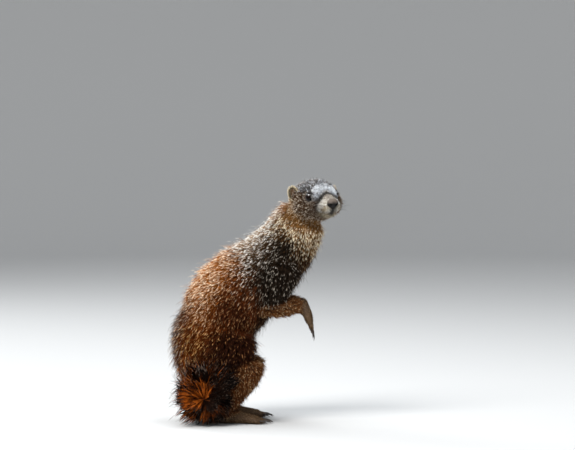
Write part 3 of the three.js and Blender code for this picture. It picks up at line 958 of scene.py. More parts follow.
lips = {
    "radius": 0.75, "steps": 40,
    "lift": -0.25 * mm,
    "philtrum": [(98.5, 0, -5.0), (98.5, 0, -8.5), (95, 0, -12.5), (92, 0, -16.2)],  # on the head
    "finish": {"colour": (20, 14, 12), "tones": (0.85, 1.15), "grainSize": 400.0, "grainDetail": 3.0,
               "roughness": 0.5, "specular": 0.5, "gloss": 0.1},
}
faceMarks = {  # places on the head, in millimetres, for the side away from the middle line
    "arch": [(76, 0, 19.5), (77.5, 8, 18.5), (79.5, 14, 13.5), (79.5, 19, 8.5)],
    "archFoot": [(79.5, 13, 14), (81, 18, 9.5), (79, 21, 5)],
    "stripe": [(70, 24, 12), (74, 22.5, 8), (74.5, 24.5, -2), (68, 26, -10), (60, 27, -18)],
    "whiteBand": [(64, 0, 29), (66, 9, 26.5), (69, 15, 21.5), (71, 19, 15.5)],
    "upperBand": [(57, 0, 32), (59, 10, 29.5), (64, 17, 24)],
    "browStreak": [(52, 23.5, 30), (59, 23.5, 25.5), (65, 23, 20)],
    "corner": [(66, 24, 18.5), (69, 22.5, 17)],
    "underEye": [(50, 33, 10), (57, 33, 7), (64, 30, 6.5)],
    "cheekStreak": [(46, 44, 4), (34, 47, -2), (18, 49, -8), (5, 49, -11)],
    "cheekTufts": [(50, 42, -2), (46, 43.5, -8), (40, 44, -14)],
    "pocket": [(34, 44, 9), (32, 45, 6)],
    "darkRing": [(51, 31, 21), (58, 28, 23.5), (65, 25, 20), (69, 23.5, 14)],
    "straw": [(97, 13.5, -7), (92, 17, -11)],
}


def headLook(at):
    h = mirrored(at["head"])
    x, z = h[:, 0], h[:, 2]
    speckle = noise(at["points"], 0.0045, 3) - 0.5
    look = startLook(len(x), "cheek")
    lay(look, "crown", ramp(z + 8 * speckle, 14, 25) * (1 - ramp(x, 62, 70)))
    lay(look, "neck", ramp(-x, -42, -16) * (1 - ramp(z, -4, 13)))
    lay(look, "neck", 0.6 * ramp(-z, 8, 20) * (1 - ramp(x, 30, 52)))
    lay(look, "nape", ramp(-x, -16, 0) * ramp(z, -4, 14))
    lay(look, "muzzle", ramp(x + 3 * speckle, 72, 80) * (1 - ramp(z, 11, 16)))
    lay(look, "cheek", 0.5 * ramp(noise(h, 3.2, 6) - 0.5, 0.02, 0.12) * (1 - ramp(x, 92, 97)))
    lay(look, "chin", ramp(-z, 13, 17) * ramp(x, 62, 74))
    lay(look, "bridge", ramp(x, 78, 84) * ramp(z, 5, 11))
    ragged = h + 8.0 * speckle[:, None]
    lay(look, "white", 0.7 * nearLine(ragged, faceMarks["upperBand"], 10.0))
    lay(look, "white", nearLine(ragged, faceMarks["whiteBand"], 13.0) * (1 - ramp(x, 73.5, 76)))
    lay(look, "white", 0.75 * nearLine(h, faceMarks["browStreak"], 3.0))
    lay(look, "white", 0.9 * nearLine(h, faceMarks["corner"], 2.6))
    lay(look, "eye stripe and shade", nearLine(h, faceMarks["stripe"], 7.5))
    lay(look, "dark arch and shade", nearLine(h, faceMarks["arch"], 6.0))
    lay(look, "dark arch and shade", nearLine(h, faceMarks["archFoot"], 6.6))
    lay(look, "straw", 0.5 * nearLine(h, faceMarks["straw"], 6))
    # painted shade: a wide dark zone round the philtrum under the nose; the narrow dark line after it is
    # the bare dark skin
    lay(look, "dark arch and shade", 0.5 * nearLine(h, lips["philtrum"], 9.0))
    lay(look, "dark arch and shade", nearLine(h, lips["philtrum"], 4.6))
    lay(look, "eye stripe and shade", 0.7 * nearLine(h, face["mouthLine"], 2.6))
    lay(look, "eye stripe and shade", 0.95 * nearLine(h, faceMarks["darkRing"], 4.2))
    lay(look, "muzzle", 0.6 * nearLine(h, faceMarks["underEye"], 3.2))
    lay(look, "muzzle", 0.65 * nearLine(h, faceMarks["cheekStreak"], 4.5))
    lay(look, "white", 0.5 * nearLine(h, faceMarks["cheekTufts"], 3.5) * (speckle > 0))
    # painted shade in the hollow below the front of the ear
    lay(look, "eye stripe and shade", 0.8 * nearLine(h, faceMarks["pocket"], 4.0))
    lay(look, "dark arch and shade", 1 - ramp(at["eyeGap"], 9.0, 11.0))
    return look


def tailLook(at):
    along = at["tailAlong"] + 0.12 * (noise(at["points"], 0.009, 5) - 0.5)
    out = unit(at["points"] - tailPath[at["tailSpot"]])
    bright = ramp(along, 0.87, 0.98) * (0.46 + 0.44 * (out @ unit([-1.0, 0.0, 0.7])))
    # most of the tail starts nearly black: partly its own dark hair, partly painted shade
    look = startLook(len(along), "tail ring")
    look["share"] += 0.45 * ramp(out @ unit([-1.0, 0.0, -0.2]), 0.1, 0.8)
    lay(look, "tail", 1 - ramp(at["lock"], bright + 0.18, bright + 0.22))
    lay(look, "tail tip", 1 - ramp(at["lock"], bright - 0.02, bright + 0.02))
    return look


def earLook(at):
    front, a, b = onEar(at["points"])
    look = startLook(len(a), "ear rim")
    r = np.hypot(a, b)
    inside = ramp(front, -0.2, 0.4) * (1 - ramp(r, 0.78, 0.90))
    lay(look, "nape", 0.6 * (1 - ramp(front, -0.6, 0.2)) * (1 - ramp(r, 0.75, 0.92)))
    lay(look, "ear inside", inside)
    # painted shade: a dark line under the rim inside the cup, and a dark pocket low in its front
    lay(look, "eye stripe and shade", 0.9 * inside * bell(r, 0.76, 0.09) * ramp(-a + 0.5 * b, -0.3, 0.2))
    lay(look, "eye stripe and shade", inside * bell(a, 0.28, 0.30) * bell(b, -0.62, 0.26))
    return look


def lookAt(at):
    look = bodyLook(at)
    for region, made in (("head", headLook(at)), ("tail", tailLook(at)), ("ear", earLook(at))):
        amount = share(at, region)
        amount = ramp(amount + 0.15 * (noise(at["points"], 0.006, 4) - 0.5), 0.25, 0.75)
        for key in look:
            part = amount if key == "share" else amount[:, None]
            look[key] += part * (made[key] - look[key])
    return look


# The lie of the coat

limbLies = {  # from the middle of one solid to the middle of the next
    "upperArm": ("upper_arm_{}", "forearm_{}"), "forearm": ("forearm_{}", "forepaw_{}"),
    "forepaw": ("forepaw_{}", "forepaw_{}_claw_2"), "thigh": ("thigh_{}", "shank_{}"),
    "shank": ("shank_{}", "hindfoot_{}"), "hindfoot": ("shank_{}", "hindfoot_{}_claw_3"),
}
lieShape = {
    "followsBody": {"thigh": 0.82, "upperArm": 0.35},
    "evening": (3, 4),  # rounds, and steps in each
    "wristReach": 20 * mm,
    "roundEye": 1.1, "eyeReach": (7, 15),  # hair runs away from the eye, fading out over these millimetres
}


def wristNear(at):  # 1 at a wrist, fading out towards the elbow
    near = np.zeros(len(at["points"]))
    reach = lieShape["wristReach"]
    for side in sides.values():
        gap = np.linalg.norm(at["points"] - wristOf(at["points"], at["weights"], side), axis=1)
        near += (at["side"] == side) * (1 - ramp(gap, 0.5 * reach, reach))
    return np.clip(near, 0, 1) * share(at, "forearm", "forepaw")


def lieOnHead(at):  # back and out from the nose, and away from each eye
    h = at["head"]
    drop = -0.25 * (1 - ramp(h[:, 2], 0, 14))
    fromNose = unit(h - face["noseAt"]) + np.column_stack([np.full(len(h), -0.5), 0 * h[:, 1], drop])
    eye = np.column_stack([np.ones(len(h)), np.sign(h[:, 1]), np.ones(len(h))]) * face["eyeAt"]
    near = 1 - ramp(at["eyeGap"], *lieShape["eyeReach"])
    return unit(unit(fromNose) + unit(h - eye) * near[:, None] * lieShape["roundEye"]) @ headAxes


def lieOnTail(at):  # along the tail, and at its end out to all sides
    forward = tailForward[at["tailSpot"]]
    out = at["points"] - tailPath[at["tailSpot"]]
    out -= forward * dots(out, forward)
    spray = ramp(at["tailAlong"], 0.90, 0.985)[:, None]
    return forward * (1 - 0.8 * spray) + unit(out) * spray


def lieOfCoat(at, normals, edges):
    bodyLie = -bodyForward[at["spot"]]
    lies = {"head": lieOnHead(at), "neck": bodyLie, "trunk": bodyLie, "tail": lieOnTail(at),
            "ear": earLies(at["points"])}
    for region, (start, end) in limbLies.items():
        lie = np.zeros((len(normals), 3))
        for name, side in sides.items():
            way = nodeCentre(end.format(name)) - nodeCentre(start.format(name))
            lie[at["side"] == side] = unit(way)
        follows = lieShape["followsBody"].get(region, 0)
        lies[region] = unit(lie * (1 - follows) + bodyLie * follows)
    lie = sum(at["weights"][:, [i]] * lies[region] for i, region in enumerate(regions))
    onWrist = wristNear(at)[:, None]
    lie = lie * (1 - onWrist) + lies["forepaw"] * onWrist
    rounds, steps = lieShape["evening"]
    for _ in range(rounds):
        lie = spread(unit(lie - normals * dots(lie, normals)), edges, steps)
    return unit(lie - normals * dots(lie, normals))


# The coat: closed tapered tufts, rooted on the skin, that lie over one another

coat = {  # for each region: length and width in millimetres, lift at the root and at the tip in degrees,
    # tufts to the square centimetre
    "head": (11, 0.62, 32, 14, 124), "neck": (22, 1.0, 38, 20, 56), "trunk": (26, 1.12, 38, 20, 54),
    "upperArm": (20, 1.05, 34, 16, 50), "forearm": (12, 0.80, 30, 12, 52),
    "forepaw": (6.0, 0.6, 24, 8, 190), "thigh": (24, 1.10, 37, 20, 48), "shank": (15, 0.90, 34, 16, 47),
    "hindfoot": (6.0, 0.6, 22, 8, 140), "tail": (42, 1.25, 64, 46, 135), "ear": (4.2, 0.5, 24, 8, 170),
}
hairKeys = ["length", "width", "rootLift", "tipLift", "density"]
coatShape = {
    "thickness": 0.45,  # of the width
    "middle": 0.74,  # where the tuft bends, along its length
    "lengths": (0.72, 0.5),  # the least, and how much a tuft may have over it, as shares of its region's
    "widths": (0.75, 0.5),
    "turn": 11,  # degrees that tufts stray to a side
    "lift": 7,
    "guardShare": 0.11,  # long thin hairs that stand out
    "guardLength": 1.28,
    "guardWidth": 0.42,
    "guardLift": 13,
    "gather": 0.45,  # how far tips are drawn into their lock
    "shortest": 6.5,  # millimetres; shorter tufts have no bend
    "buried": 0.9 * mm,
    "patch": 0.003,
    "reach": 0.5,  # how far along a hair its colour is looked up
    "band": 0.87,  # where along a hair its pale end starts
    "bandWidth": 1.05,
    "lockTips": 0.4,  # how often a hair has the tip its lock has
    "mixAlong": 0.035,  # how far hairs of two colours mix: along the body, round it, and on the face in mm
    "mixBack": 0.09,
    "mixFace": 1.1,
    "lockTones": (0.72, 0.50), "tones": (0.82, 0.34), "tipTones": (0.9, 0.2),
}
coatHabits = {  # metres between two locks, how unevenly long locks are, how far they stray and gather
    "body": {"clump": 1.9 * mm, "uneven": 0.12, "stray": 1, "pull": 1},
    "tail": {"clump": 6.5 * mm, "uneven": 0.34, "stray": 1.5, "pull": 1.15},
}
coatPieces = {
    "head": "head", "ear": "head", "neck": "neck", "trunk": "flank", "upperArm": "arm", "forearm": "arm",
    "thigh": "leg", "shank": "leg", "forepaw": "paw", "hindfoot": "foot", "tail": "tail",
}
trunkCuts = {"shoulder": 0.56, "rump": 0.2}  # where along the body the flank's piece ends


def pieceOf(at):  # which coat piece each place belongs to
    piece = []
    strongest = at["weights"].argmax(1)
    for region, side, headY, along in zip(strongest, at["side"], at["head"][:, 1], at["along"]):
        kind = coatPieces[regions[region]]
        if kind == "flank" and along > trunkCuts["shoulder"]:
            kind = "shoulder"
        if kind == "flank" and along < trunkCuts["rump"]:
            kind = "rump"
        if kind in ("neck", "tail"):
            piece.append("coat_" + kind)
            continue
        onRight = headY < 0 if kind == "head" else side < 0
        piece.append("coat_" + kind + ("_right" if onRight else "_left"))
    return np.array(piece, dtype=object)


def triangles(mesh):
    mesh.calc_loop_triangles()
    tris = np.empty(len(mesh.loop_triangles) * 3, int)
    mesh.loop_triangles.foreach_get("vertices", tris)
    return tris.reshape(-1, 3)


def strewn(points, tris, perArea, seed):  # roots spread over triangles, perArea at each point
    rng = np.random.default_rng(seed)
    corners = points[tris]
    sideways, upward = corners[:, 1] - corners[:, 0], corners[:, 2] - corners[:, 0]
    area = np.linalg.norm(np.cross(sideways, upward), axis=1) / 2
    wanted = np.cumsum(area * perArea[tris].mean(1))
    count = int(wanted[-1])
    marks = (np.arange(count) + rng.random(count)) / count * wanted[-1]
    chosen = np.minimum(np.searchsorted(wanted, marks), len(tris) - 1)
    a, b = rng.random((2, count))
    flip = a + b > 1
    a[flip], b[flip] = 1 - a[flip], 1 - b[flip]
    return tris[chosen], np.column_stack([1 - a - b, a, b]), rng


def between(values, corners, parts):
    values = np.asarray(values)
    if values.ndim == 1:
        return (values[corners] * parts).sum(1)
    return (values[corners] * parts[:, :, None]).sum(1)


def turned(vectors, axes, degrees):  # each vector turned about its axis, at right angles to it
    angle = np.radians(degrees)[:, None]
    return vectors * np.cos(angle) + np.cross(axes, vectors) * np.sin(angle)


def gather(roots, seed, spacing):  # for each tuft, the number of the tuft that leads its lock
    rng = np.random.default_rng(seed)
    taken = set()
    leaders = []
    for i in rng.permutation(len(roots)):  # one leader to a cell of space
        cell = tuple((roots[i] // spacing).astype(int))
        if cell not in taken:
            taken.add(cell)
            leaders.append(i)
    tree = KDTree(len(leaders))
    for n, i in enumerate(leaders):
        tree.insert(roots[i], n)
    tree.balance()
    return np.array([leaders[tree.find(p)[1]] for p in roots])


def wrapped(points):  # an unwrap round the longest way through a piece: the turn, and the way along it
    out = points - points.mean(0)
    axis = np.linalg.svd(out[::7], full_matrices=False)[2][0]
    first = unit(np.cross(axis, [0.31, 0.95, 0.05]))
    second = np.cross(axis, first)
    turn = np.arctan2(out @ second, out @ first) / (2 * math.pi) + 0.5
    way = out @ axis
    way = (way - way.min()) / max(np.ptp(way), 1e-6)
    return np.column_stack([turn, way]) * (1 - 2 * coatShape["patch"]) + coatShape["patch"]


def tuftMesh(rings, tips, colours, tipColours, places):  # each ring has three corners, from the root on
    count = len(tips)
    stages = len(rings)
    perTuft = stages * 3 + 1
    verts = np.concatenate([*rings, tips[:, None, :]], axis=1)
    ringShades = [np.repeat(c[:, None, :], 3, 1) for c in colours]
    shade = np.concatenate([*ringShades, tipColours[:, None, :]], axis=1)
    faces, flat = [(0, 2, 1)], [((0.0, -0.15), (1.0, -0.15), (0.5, -0.3))]
    for s in range(stages - 1):
        for k in range(3):
            n = (k + 1) % 3
            a, b, c, d = 3 * s + k, 3 * s + n, 3 * s + 3 + n, 3 * s + 3 + k
            u, v, low, high = k / 3, (k + 1) / 3, s / stages, (s + 1) / stages
            faces += [(a, b, c), (a, c, d)]
            flat += [((u, low), (v, low), (v, high)), ((u, low), (v, high), (u, high))]
    last = 3 * (stages - 1)
    low = (stages - 1) / stages
    for k in range(3):
        faces.append((last + k, last + (k + 1) % 3, stages * 3))
        flat.append(((k / 3, low), ((k + 1) / 3, low), ((k + 0.5) / 3, 1.0)))
    index = (np.array(faces).reshape(-1)[None, :] + (np.arange(count) * perTuft)[:, None]).reshape(-1)
    uv = places[:, None, :] + (np.array(flat).reshape(-1, 2)[None] - 0.5) * coatShape["patch"]
    return verts.reshape(-1, 3), index, shade.reshape(-1, 3), uv.reshape(-1, 2)


def rawMesh(name, verts, index, shade, uv):  # a mesh of triangles, with its colours and its map
    mesh = bpy.data.meshes.new(name)
    total = len(index) // 3
    mesh.vertices.add(len(verts))
    mesh.vertices.foreach_set("co", verts.astype(np.float32).ravel())
    mesh.loops.add(len(index))
    mesh.loops.foreach_set("vertex_index", index.astype(np.int32))
    mesh.polygons.add(total)
    mesh.polygons.foreach_set("loop_start", np.arange(total, dtype=np.int32) * 3)
    mesh.update()
    mesh.shade_smooth()
    layer = mesh.uv_layers.new(name="OFBake")
    layer.data.foreach_set("uv", uv.astype(np.float32).ravel())
    paintMesh(mesh, shade)
    return mesh


room = {  # how far hair may pass the CAD box: this share of a side and the margin, less the soft part
    "share": 0.03, "margin": 8 * mm, "soft": 12 * mm, "floor": 0.0004,
}


def keptIn(points):  # draws in the hair that would stand too far out of the CAD box
    points = points.copy()
    low, high = np.array(cadBox)
    limit = (high - low) * room["share"] + room["margin"] - room["soft"]
    for k in range(3):
        for sign, edge in ((1, high[k]), (-1, -low[k])):
            past = np.maximum(points[:, k] * sign - edge - limit[k], 0)
            points[:, k] -= sign * (past - room["soft"] * np.tanh(past / room["soft"]))
    points[:, 2] = np.maximum(points[:, 2], room["floor"])
    return points


def hairOn(at, normals):  # how the hair grows at each place on the skin
    hair = dict(zip(hairKeys, (at["weights"] @ np.array([coat[r] for r in regions], float)).T))
    h = mirrored(at["head"])
    headShare = share(at, "head")
    onHeadSkin = headShare > 0.4
    muzzle = ramp(h[:, 0], 56, 82)
    hair["length"] *= 1 - headShare * (0.62 * muzzle)
    hair["length"] *= 1 - headShare * (1 - ramp(at["eyeGap"], 9, 18)) * 0.75
    hair["length"] *= 1 + headShare * 0.25 * (1 - ramp(h[:, 0], 20, 45))
    hair["width"] *= 1 - headShare * 0.35 * muzzle
    hair["density"] *= 1 + headShare * 1.9 * muzzle

    noseGap = np.linalg.norm((h - np.array(noseShape["at"])) / noseShape["radii"], axis=1)
    lipLines = ((lips["philtrum"], 3.0), (face["mouthLine"], 1.8))
    onLips = np.maximum(*[nearLine(h, line, reach) for line, reach in lipLines])
    bare = (at["onLids"] | (noseGap < 0.86) | (onLips > 0.1)) & onHeadSkin
    bare |= (normals[:, 2] < -0.75) & (at["points"][:, 2] < 0.004)  # the soles
    hair["density"] *= np.where(bare, 0, 1)
    front, a, b = onEar(at["points"])
    inEar = (front > 0) & (np.hypot(a, b) < 0.82) & (share(at, "ear") > 0.5)
    hair["density"] *= np.where(inEar, 0.3, 1)
    hair["length"] *= np.where(inEar, 0.7, 1)

    onTail, along = share(at, "tail"), at["tailAlong"]
    hair["length"] *= 1 + 0.32 * onTail * ramp(normals[:, 2], 0.0, 0.8) * ramp(along, 0.5, 0.8)
    hair["length"] *= 1 - 0.36 * onTail * ramp(along, 0.90, 0.99)
    hair["length"] *= 1 - 0.35 * wristNear(at)
    fringe = share(at, "trunk") * ramp(at["back"], 0.55, 0.9) * (1 - ramp(at["along"], 0.10, 0.36))
    hair["length"] *= 1 + 0.35 * fringe
    whiteBand = nearLine(h, faceMarks["whiteBand"], 11) * headShare
    hair["length"] += whiteBand * np.maximum(8.5 - hair["length"], 0)
    browTuft = headShare * bell(h[:, 0], 63, 11) * bell(h[:, 1], 21, 7) * bell(h[:, 2], 23, 7)
    hair["length"] += 4.5 * browTuft
    for key in ("rootLift", "tipLift"):
        hair[key] += onTail * 10 * ramp(along, 0.955, 1.0)
        hair[key] -= onTail * 22 * (1 - ramp(along, 0.25, 0.55))
        hair[key] += fringe * 14
        hair[key] += whiteBand * 9
        hair[key] += browTuft * 16
    return hair


def varied(rng, count, least, more):
    return least + more * rng.random(count)


def tuftLooks(roots, lie, hair, weights, leader, isTail, rng):  # colours, as at the middle of each hair
    count = len(roots)
    reach = 0 if isTail else coatShape["reach"]
    here = mapOf(roots + lie * (hair["length"][:, None] * mm * reach), weights)
    here["points"] = roots
    here["lock"] = rng.random(count)[leader]
    for key, mix in (("along", "mixAlong"), ("back", "mixBack"), ("tailAlong", "mixAlong")):
        here[key] = here[key] + rng.normal(0, coatShape[mix], count)
    here["head"] = here["head"] + rng.normal(0, coatShape["mixFace"], (count, 3))
    return lookAt(here)


def tuftShapes(roots, normals, lie, hair, leader, habit, rng):
    count = len(roots)
    guard = (rng.random(count) < coatShape["guardShare"]) & (hair["length"] > coatShape["shortest"])
    length = hair["length"] * varied(rng, count, *coatShape["lengths"])
    length = length * np.where(guard, coatShape["guardLength"], 1) * mm
    length *= varied(rng, count, 1 - habit["uneven"], 2 * habit["uneven"])[leader]
    length = length[:, None]
    width = hair["width"] * varied(rng, count, *coatShape["widths"])
    width = width * np.where(guard, coatShape["guardWidth"], 1) * mm
    stray = rng.normal(0, coatShape["turn"] * habit["stray"], count)
    lie = turned(lie, normals, stray * 0.6 + stray[leader] * 0.6)
    liftStray = rng.normal(0, coatShape["lift"], count)
    ways = []
    for key in ("rootLift", "tipLift"):
        lift = np.radians(hair[key] + liftStray + np.where(guard, coatShape["guardLift"], 0))[:, None]
        ways.append(lie * np.cos(lift) + normals * np.sin(lift))
    start = roots - normals * coatShape["buried"]
    middle = start + ways[0] * length * coatShape["middle"]
    end = middle + ways[1] * length * (1 - coatShape["middle"])
    shift = end[leader] - end
    shift -= normals * dots(shift, normals) * 0.5
    reach = np.linalg.norm(shift, axis=1, keepdims=True)
    shift *= np.minimum(1, 0.5 * length / np.maximum(reach, 1e-9))
    pull = coatShape["gather"] * habit["pull"]
    return {
        "start": start, "middle": keptIn(middle + shift * pull * 0.4), "end": keptIn(end + shift * pull),
        "rootWay": ways[0], "tipWay": ways[1], "across": unit(np.cross(lie, normals)), "normal": normals,
        "width": width,
    }


def tuftRing(shape, place, way, size):  # three corners round a hair: two by the skin and one above them
    up = unit(np.cross(shape["across"], way))
    up = up * np.sign(dots(up, shape["normal"]))
    size = (shape["width"] * size)[:, None, None]
    across = np.array([-0.5, 0.5, 0.0])[None, :, None] * size
    above = np.array([0.0, 0.0, coatShape["thickness"]])[None, :, None] * size
    return place[:, None, :] + shape["across"][:, None, :] * across + up[:, None, :] * above


def tuftStations(kind, shape, tones):  # the rings along a hair: place, way, size and colour of each
    start, middle, end = shape["start"], shape["middle"], shape["end"]
    rootWay, tipWay = shape["rootWay"], shape["tipWay"]
    if kind == "short":
        return [(start, unit(end - start), 1.0, tones["short"])]
    thin = 0.8 if kind == "tail" else 0.75
    stations = [
        (start, rootWay, thin, tones["under"]),
        (middle, unit(rootWay + tipWay), 1.0, tones["middle"]),
    ]
    if kind == "tail":
        stations.append((middle + (end - middle) * 0.5, tipWay, 0.8, tones["dark"]))
    if kind == "banded":
        bend = coatShape["middle"]
        bandStart = middle + (end - middle) * ((coatShape["band"] - bend) / (1 - bend))
        stations.append((bandStart, tipWay, coatShape["bandWidth"], tones["tip"]))
    return stations


def makeCoatPiece(number, name, tris, skinPoints, skinNormals, lie, hair, weights):
    isTail = name == "coat_tail"
    habit = coatHabits["tail" if isTail else "body"]
    corners, parts, rng = strewn(skinPoints, tris, hair["density"] * 1e4, 100 + number)
    count = len(corners)
    roots = between(skinPoints, corners, parts)
    normals = unit(between(skinNormals, corners, parts))
    along = unit(between(lie, corners, parts))
    along = unit(along - normals * dots(along, normals))
    hair = {key: between(values, corners, parts) for key, values in hair.items()}
    leader = gather(roots, 7 + number, habit["clump"])
    look = tuftLooks(roots, along, hair, between(weights, corners, parts), leader, isTail, rng)
    shape = tuftShapes(roots, normals, along, hair, leader, habit, rng)

    lockTone = varied(rng, count, *coatShape["lockTones"])[leader]
    tone = (lockTone * varied(rng, count, *coatShape["tones"]))[:, None]
    asLock = rng.random(count) < coatShape["lockTips"]
    pale = np.where(asLock, rng.random(count)[leader], rng.random(count)) < look["share"]
    tipTone = varied(rng, count, *coatShape["tipTones"])[:, None]
    tip = np.where(pale[:, None], look["pale"], look["dark"]) * tipTone
    tones = {key: look[key] * tone for key in ("under", "middle", "dark")}
    tones["tip"] = tip
    tones["short"] = 0.8 * tones["middle"] * ~pale[:, None] + 0.6 * tip * pale[:, None]

    short = hair["length"] < coatShape["shortest"]
    places = wrapped(roots)
    offset, bits = 0, []
    for chosen, kind in ((short, "short"), (~short & ~pale, "plain"), (~short & pale, "banded")):
        if not chosen.any():
            continue
        stations = tuftStations("tail" if isTail and kind != "short" else kind, shape, tones)
        rings = [tuftRing(shape, place, way, size)[chosen] for place, way, size, _ in stations]
        colours = [colour[chosen] for *_, colour in stations]
        tips = shape["end"][chosen]
        verts, index, shade, uv = tuftMesh(rings, tips, colours, tip[chosen], places[chosen])
        bits.append((verts, index + offset, shade, uv))
        offset += len(verts)
    return rawMesh(name, *[np.concatenate(each) for each in zip(*bits)])


def makeCoat(at, normals, tris, lie):
    material = coatMaterial()
    hair = hairOn(at, normals)
    pieces = pieceOf(at)
    total = 0
    for number, name in enumerate(sorted(set(pieces))):
        own = tris[pieces[tris[:, 0]] == name]
        mesh = makeCoatPiece(number, name, own, at["points"], normals, lie, hair, at["weights"])
        addPiece(name, mesh, material)
        print("marmot:", name, len(mesh.polygons), "triangles")
        total += len(mesh.polygons)
    print("marmot: the coat has", total, "triangles")


# Parts with a surface of their own: eyes, lids, nose, lips, whiskers and claws

def gridMesh(name, rows, closeRows=False):  # rows of points, each row a closed ring
    rows = np.asarray(rows, float)
    count, around = rows.shape[:2]
    verts = rows.reshape(-1, 3)
    faces = []
    last = count if closeRows else count - 1
    for i in range(last):
        n = (i + 1) % count
        for j in range(around):
            k = (j + 1) % around
            faces.append((i * around + j, n * around + j, n * around + k, i * around + k))
    if not closeRows:
        faces.append(tuple(range(around)))
        faces.append(tuple(reversed(range((count - 1) * around, count * around))))
    mesh = bpy.data.meshes.new(name)
    mesh.from_pydata(verts.tolist(), [], faces)
    mesh.update()
    tidy = bmesh.new()
    tidy.from_mesh(mesh)
    bmesh.ops.remove_doubles(tidy, verts=tidy.verts, dist=1e-7)
    bmesh.ops.recalc_face_normals(tidy, faces=tidy.faces)
    tidy.to_mesh(mesh)
    tidy.free()
    mesh.shade_smooth()
    return mesh


def addPiece(name, mesh, material, replaces=()):
    piece = bpy.data.objects.new(name, mesh)
    bpy.context.scene.collection.objects.link(piece)
    mesh.materials.append(material)
    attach(piece, "root")
    if replaces:
        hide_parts(*replaces)
    return piece


def joinMeshes(name, meshes):
    whole = bmesh.new()
    for mesh in meshes:
        whole.from_mesh(mesh)
        bpy.data.meshes.remove(mesh)
    made = bpy.data.meshes.new(name)
    whole.to_mesh(made)
    whole.free()
    made.shade_smooth()
    return made


def taperedTube(name, path, radii, around):
    path = np.asarray(path, float)
    forward = unit(np.gradient(path, axis=0))
    side = unit(np.cross(forward, [0.13, 0.21, 0.97]))
    top = np.cross(side, forward)
    turns = np.linspace(0, 2 * math.pi, around, endpoint=False)
    rows = [[p + r * (math.cos(t) * s + math.sin(t) * u) for t in turns]
            for p, r, s, u in zip(path, radii, side, top)]
    return gridMesh(name, rows)


eyeball = {
    "rings": 40, "around": 48,
    "bulge": 0.45, "bulgeReach": 26,  # the cornea: millimetres, and degrees from the gaze
    # the lower half of the eyeball is given little shine: painted shade on its reflection, so it shows
    # little of the floor
    "shade": 0.06, "shadeFrom": (-0.02, 0.2),  # how much the lower half shines, and where that ends
    "finish": {"colour": (20, 10, 6), "tones": (0.7, 1.3), "grainSize": 900.0, "grainDetail": 3.0,
               "roughness": 0.07, "specular": 0.5, "gloss": 0.0},
}
eyelid = {
    "back": 51, "front": 54, "top": 41, "bottom": 39,  # degrees from the middle of the opening
    "corner": 13,  # how much farther the front corner reaches
    "cornerDrop": 0.25, "cornerPoint": 10,
    "section": [  # degrees back from the edge, and millimetres above the eyeball
        (38, -1.6), (27, -0.1), (16, 0.65), (7, 0.8), (1, 0.65), (-1, 0.25), (2, -0.6), (20, -1.8)],
    "around": 72,
    "finish": {"colour": (13, 9, 8), "tones": (0.7, 1.3), "grainSize": 700.0, "grainDetail": 3.0,
               "roughness": 0.6, "specular": 0.15, "gloss": 0.0},
}


def eyeAxes(side):
    gaze = unit(np.array(eyeShape["gaze"]) * [1, side, 1]) @ headAxes
    up = unit(headAxes[2] - gaze * np.dot(headAxes[2], gaze))
    front = np.cross(up, gaze) * -side
    return gaze, front, up


def fromGaze(axes, tilt, turn):  # a direction so far from the gaze and so far round it
    gaze, front, up = axes
    return math.cos(tilt) * gaze + math.sin(tilt) * (math.cos(turn) * front + math.sin(turn) * up)


def lidAngle(turn):  # how far the edge of the lids is from the gaze, in degrees
    wide = eyelid["front"] if math.cos(turn) > 0 else eyelid["back"]
    tall = eyelid["top"] if math.sin(turn) > 0 else eyelid["bottom"]
    opening = 1 / math.hypot(math.cos(turn) / wide, math.sin(turn) / tall)
    towardCorner = max(math.cos(turn + eyelid["cornerDrop"]), 0)
    return opening + eyelid["corner"] * towardCorner ** eyelid["cornerPoint"]


def eyeballMesh(centre, axes):
    rows = []
    for tilt in np.linspace(0.02, math.pi - 0.02, eyeball["rings"]):
        bulge = eyeball["bulge"] * math.exp(-((math.degrees(tilt) / eyeball["bulgeReach"]) ** 2))
        reach = (eyeShape["radius"] + bulge) * mm
        turns = np.linspace(0, 2 * math.pi, eyeball["around"], endpoint=False)
        rows.append([centre + reach * fromGaze(axes, tilt, t) for t in turns])
    mesh = gridMesh("eyeball", rows)
    height = unit(meshArrays(mesh)[0] - centre)[:, 2]
    # painted shade on the reflection: little shine on the lower half
    shine = eyeball["shade"] + (1 - eyeball["shade"]) * ramp(height, *eyeball["shadeFrom"])
    layer = mesh.attributes.new("shine", "FLOAT", "POINT")
    layer.data.foreach_set("value", shine.astype(np.float32))
    return mesh


def eyelidMesh(centre, axes):
    rows = []
    for more, out in eyelid["section"]:
        reach = (eyeShape["radius"] + out) * mm
        turns = np.linspace(0, 2 * math.pi, eyelid["around"], endpoint=False)
        rows.append([centre + reach * fromGaze(axes, math.radians(lidAngle(t) + more), t) for t in turns])
    return gridMesh("eyelid", rows, closeRows=True)


def makeEyes():
    wet = mottledMaterial("eye", eyeball["finish"])
    tree = wet.node_tree
    shine = tree.nodes.new("ShaderNodeAttribute")
    shine.attribute_name = "shine"
    tree.links.new(shine.outputs["Fac"], tree.nodes["Principled BSDF"].inputs["Specular IOR Level"])
    lid = mottledMaterial("eyelid", eyelid["finish"])
    for name, side in sides.items():
        axes = eyeAxes(side)
        centre = nodeCentre("eye_" + name) - axes[0] * eyeShape["sunk"] * mm
        addPiece("eyeball_" + name, eyeballMesh(centre, axes), wet, ["eye_" + name])
        addPiece("eyelid_" + name, eyelidMesh(centre, axes), lid)


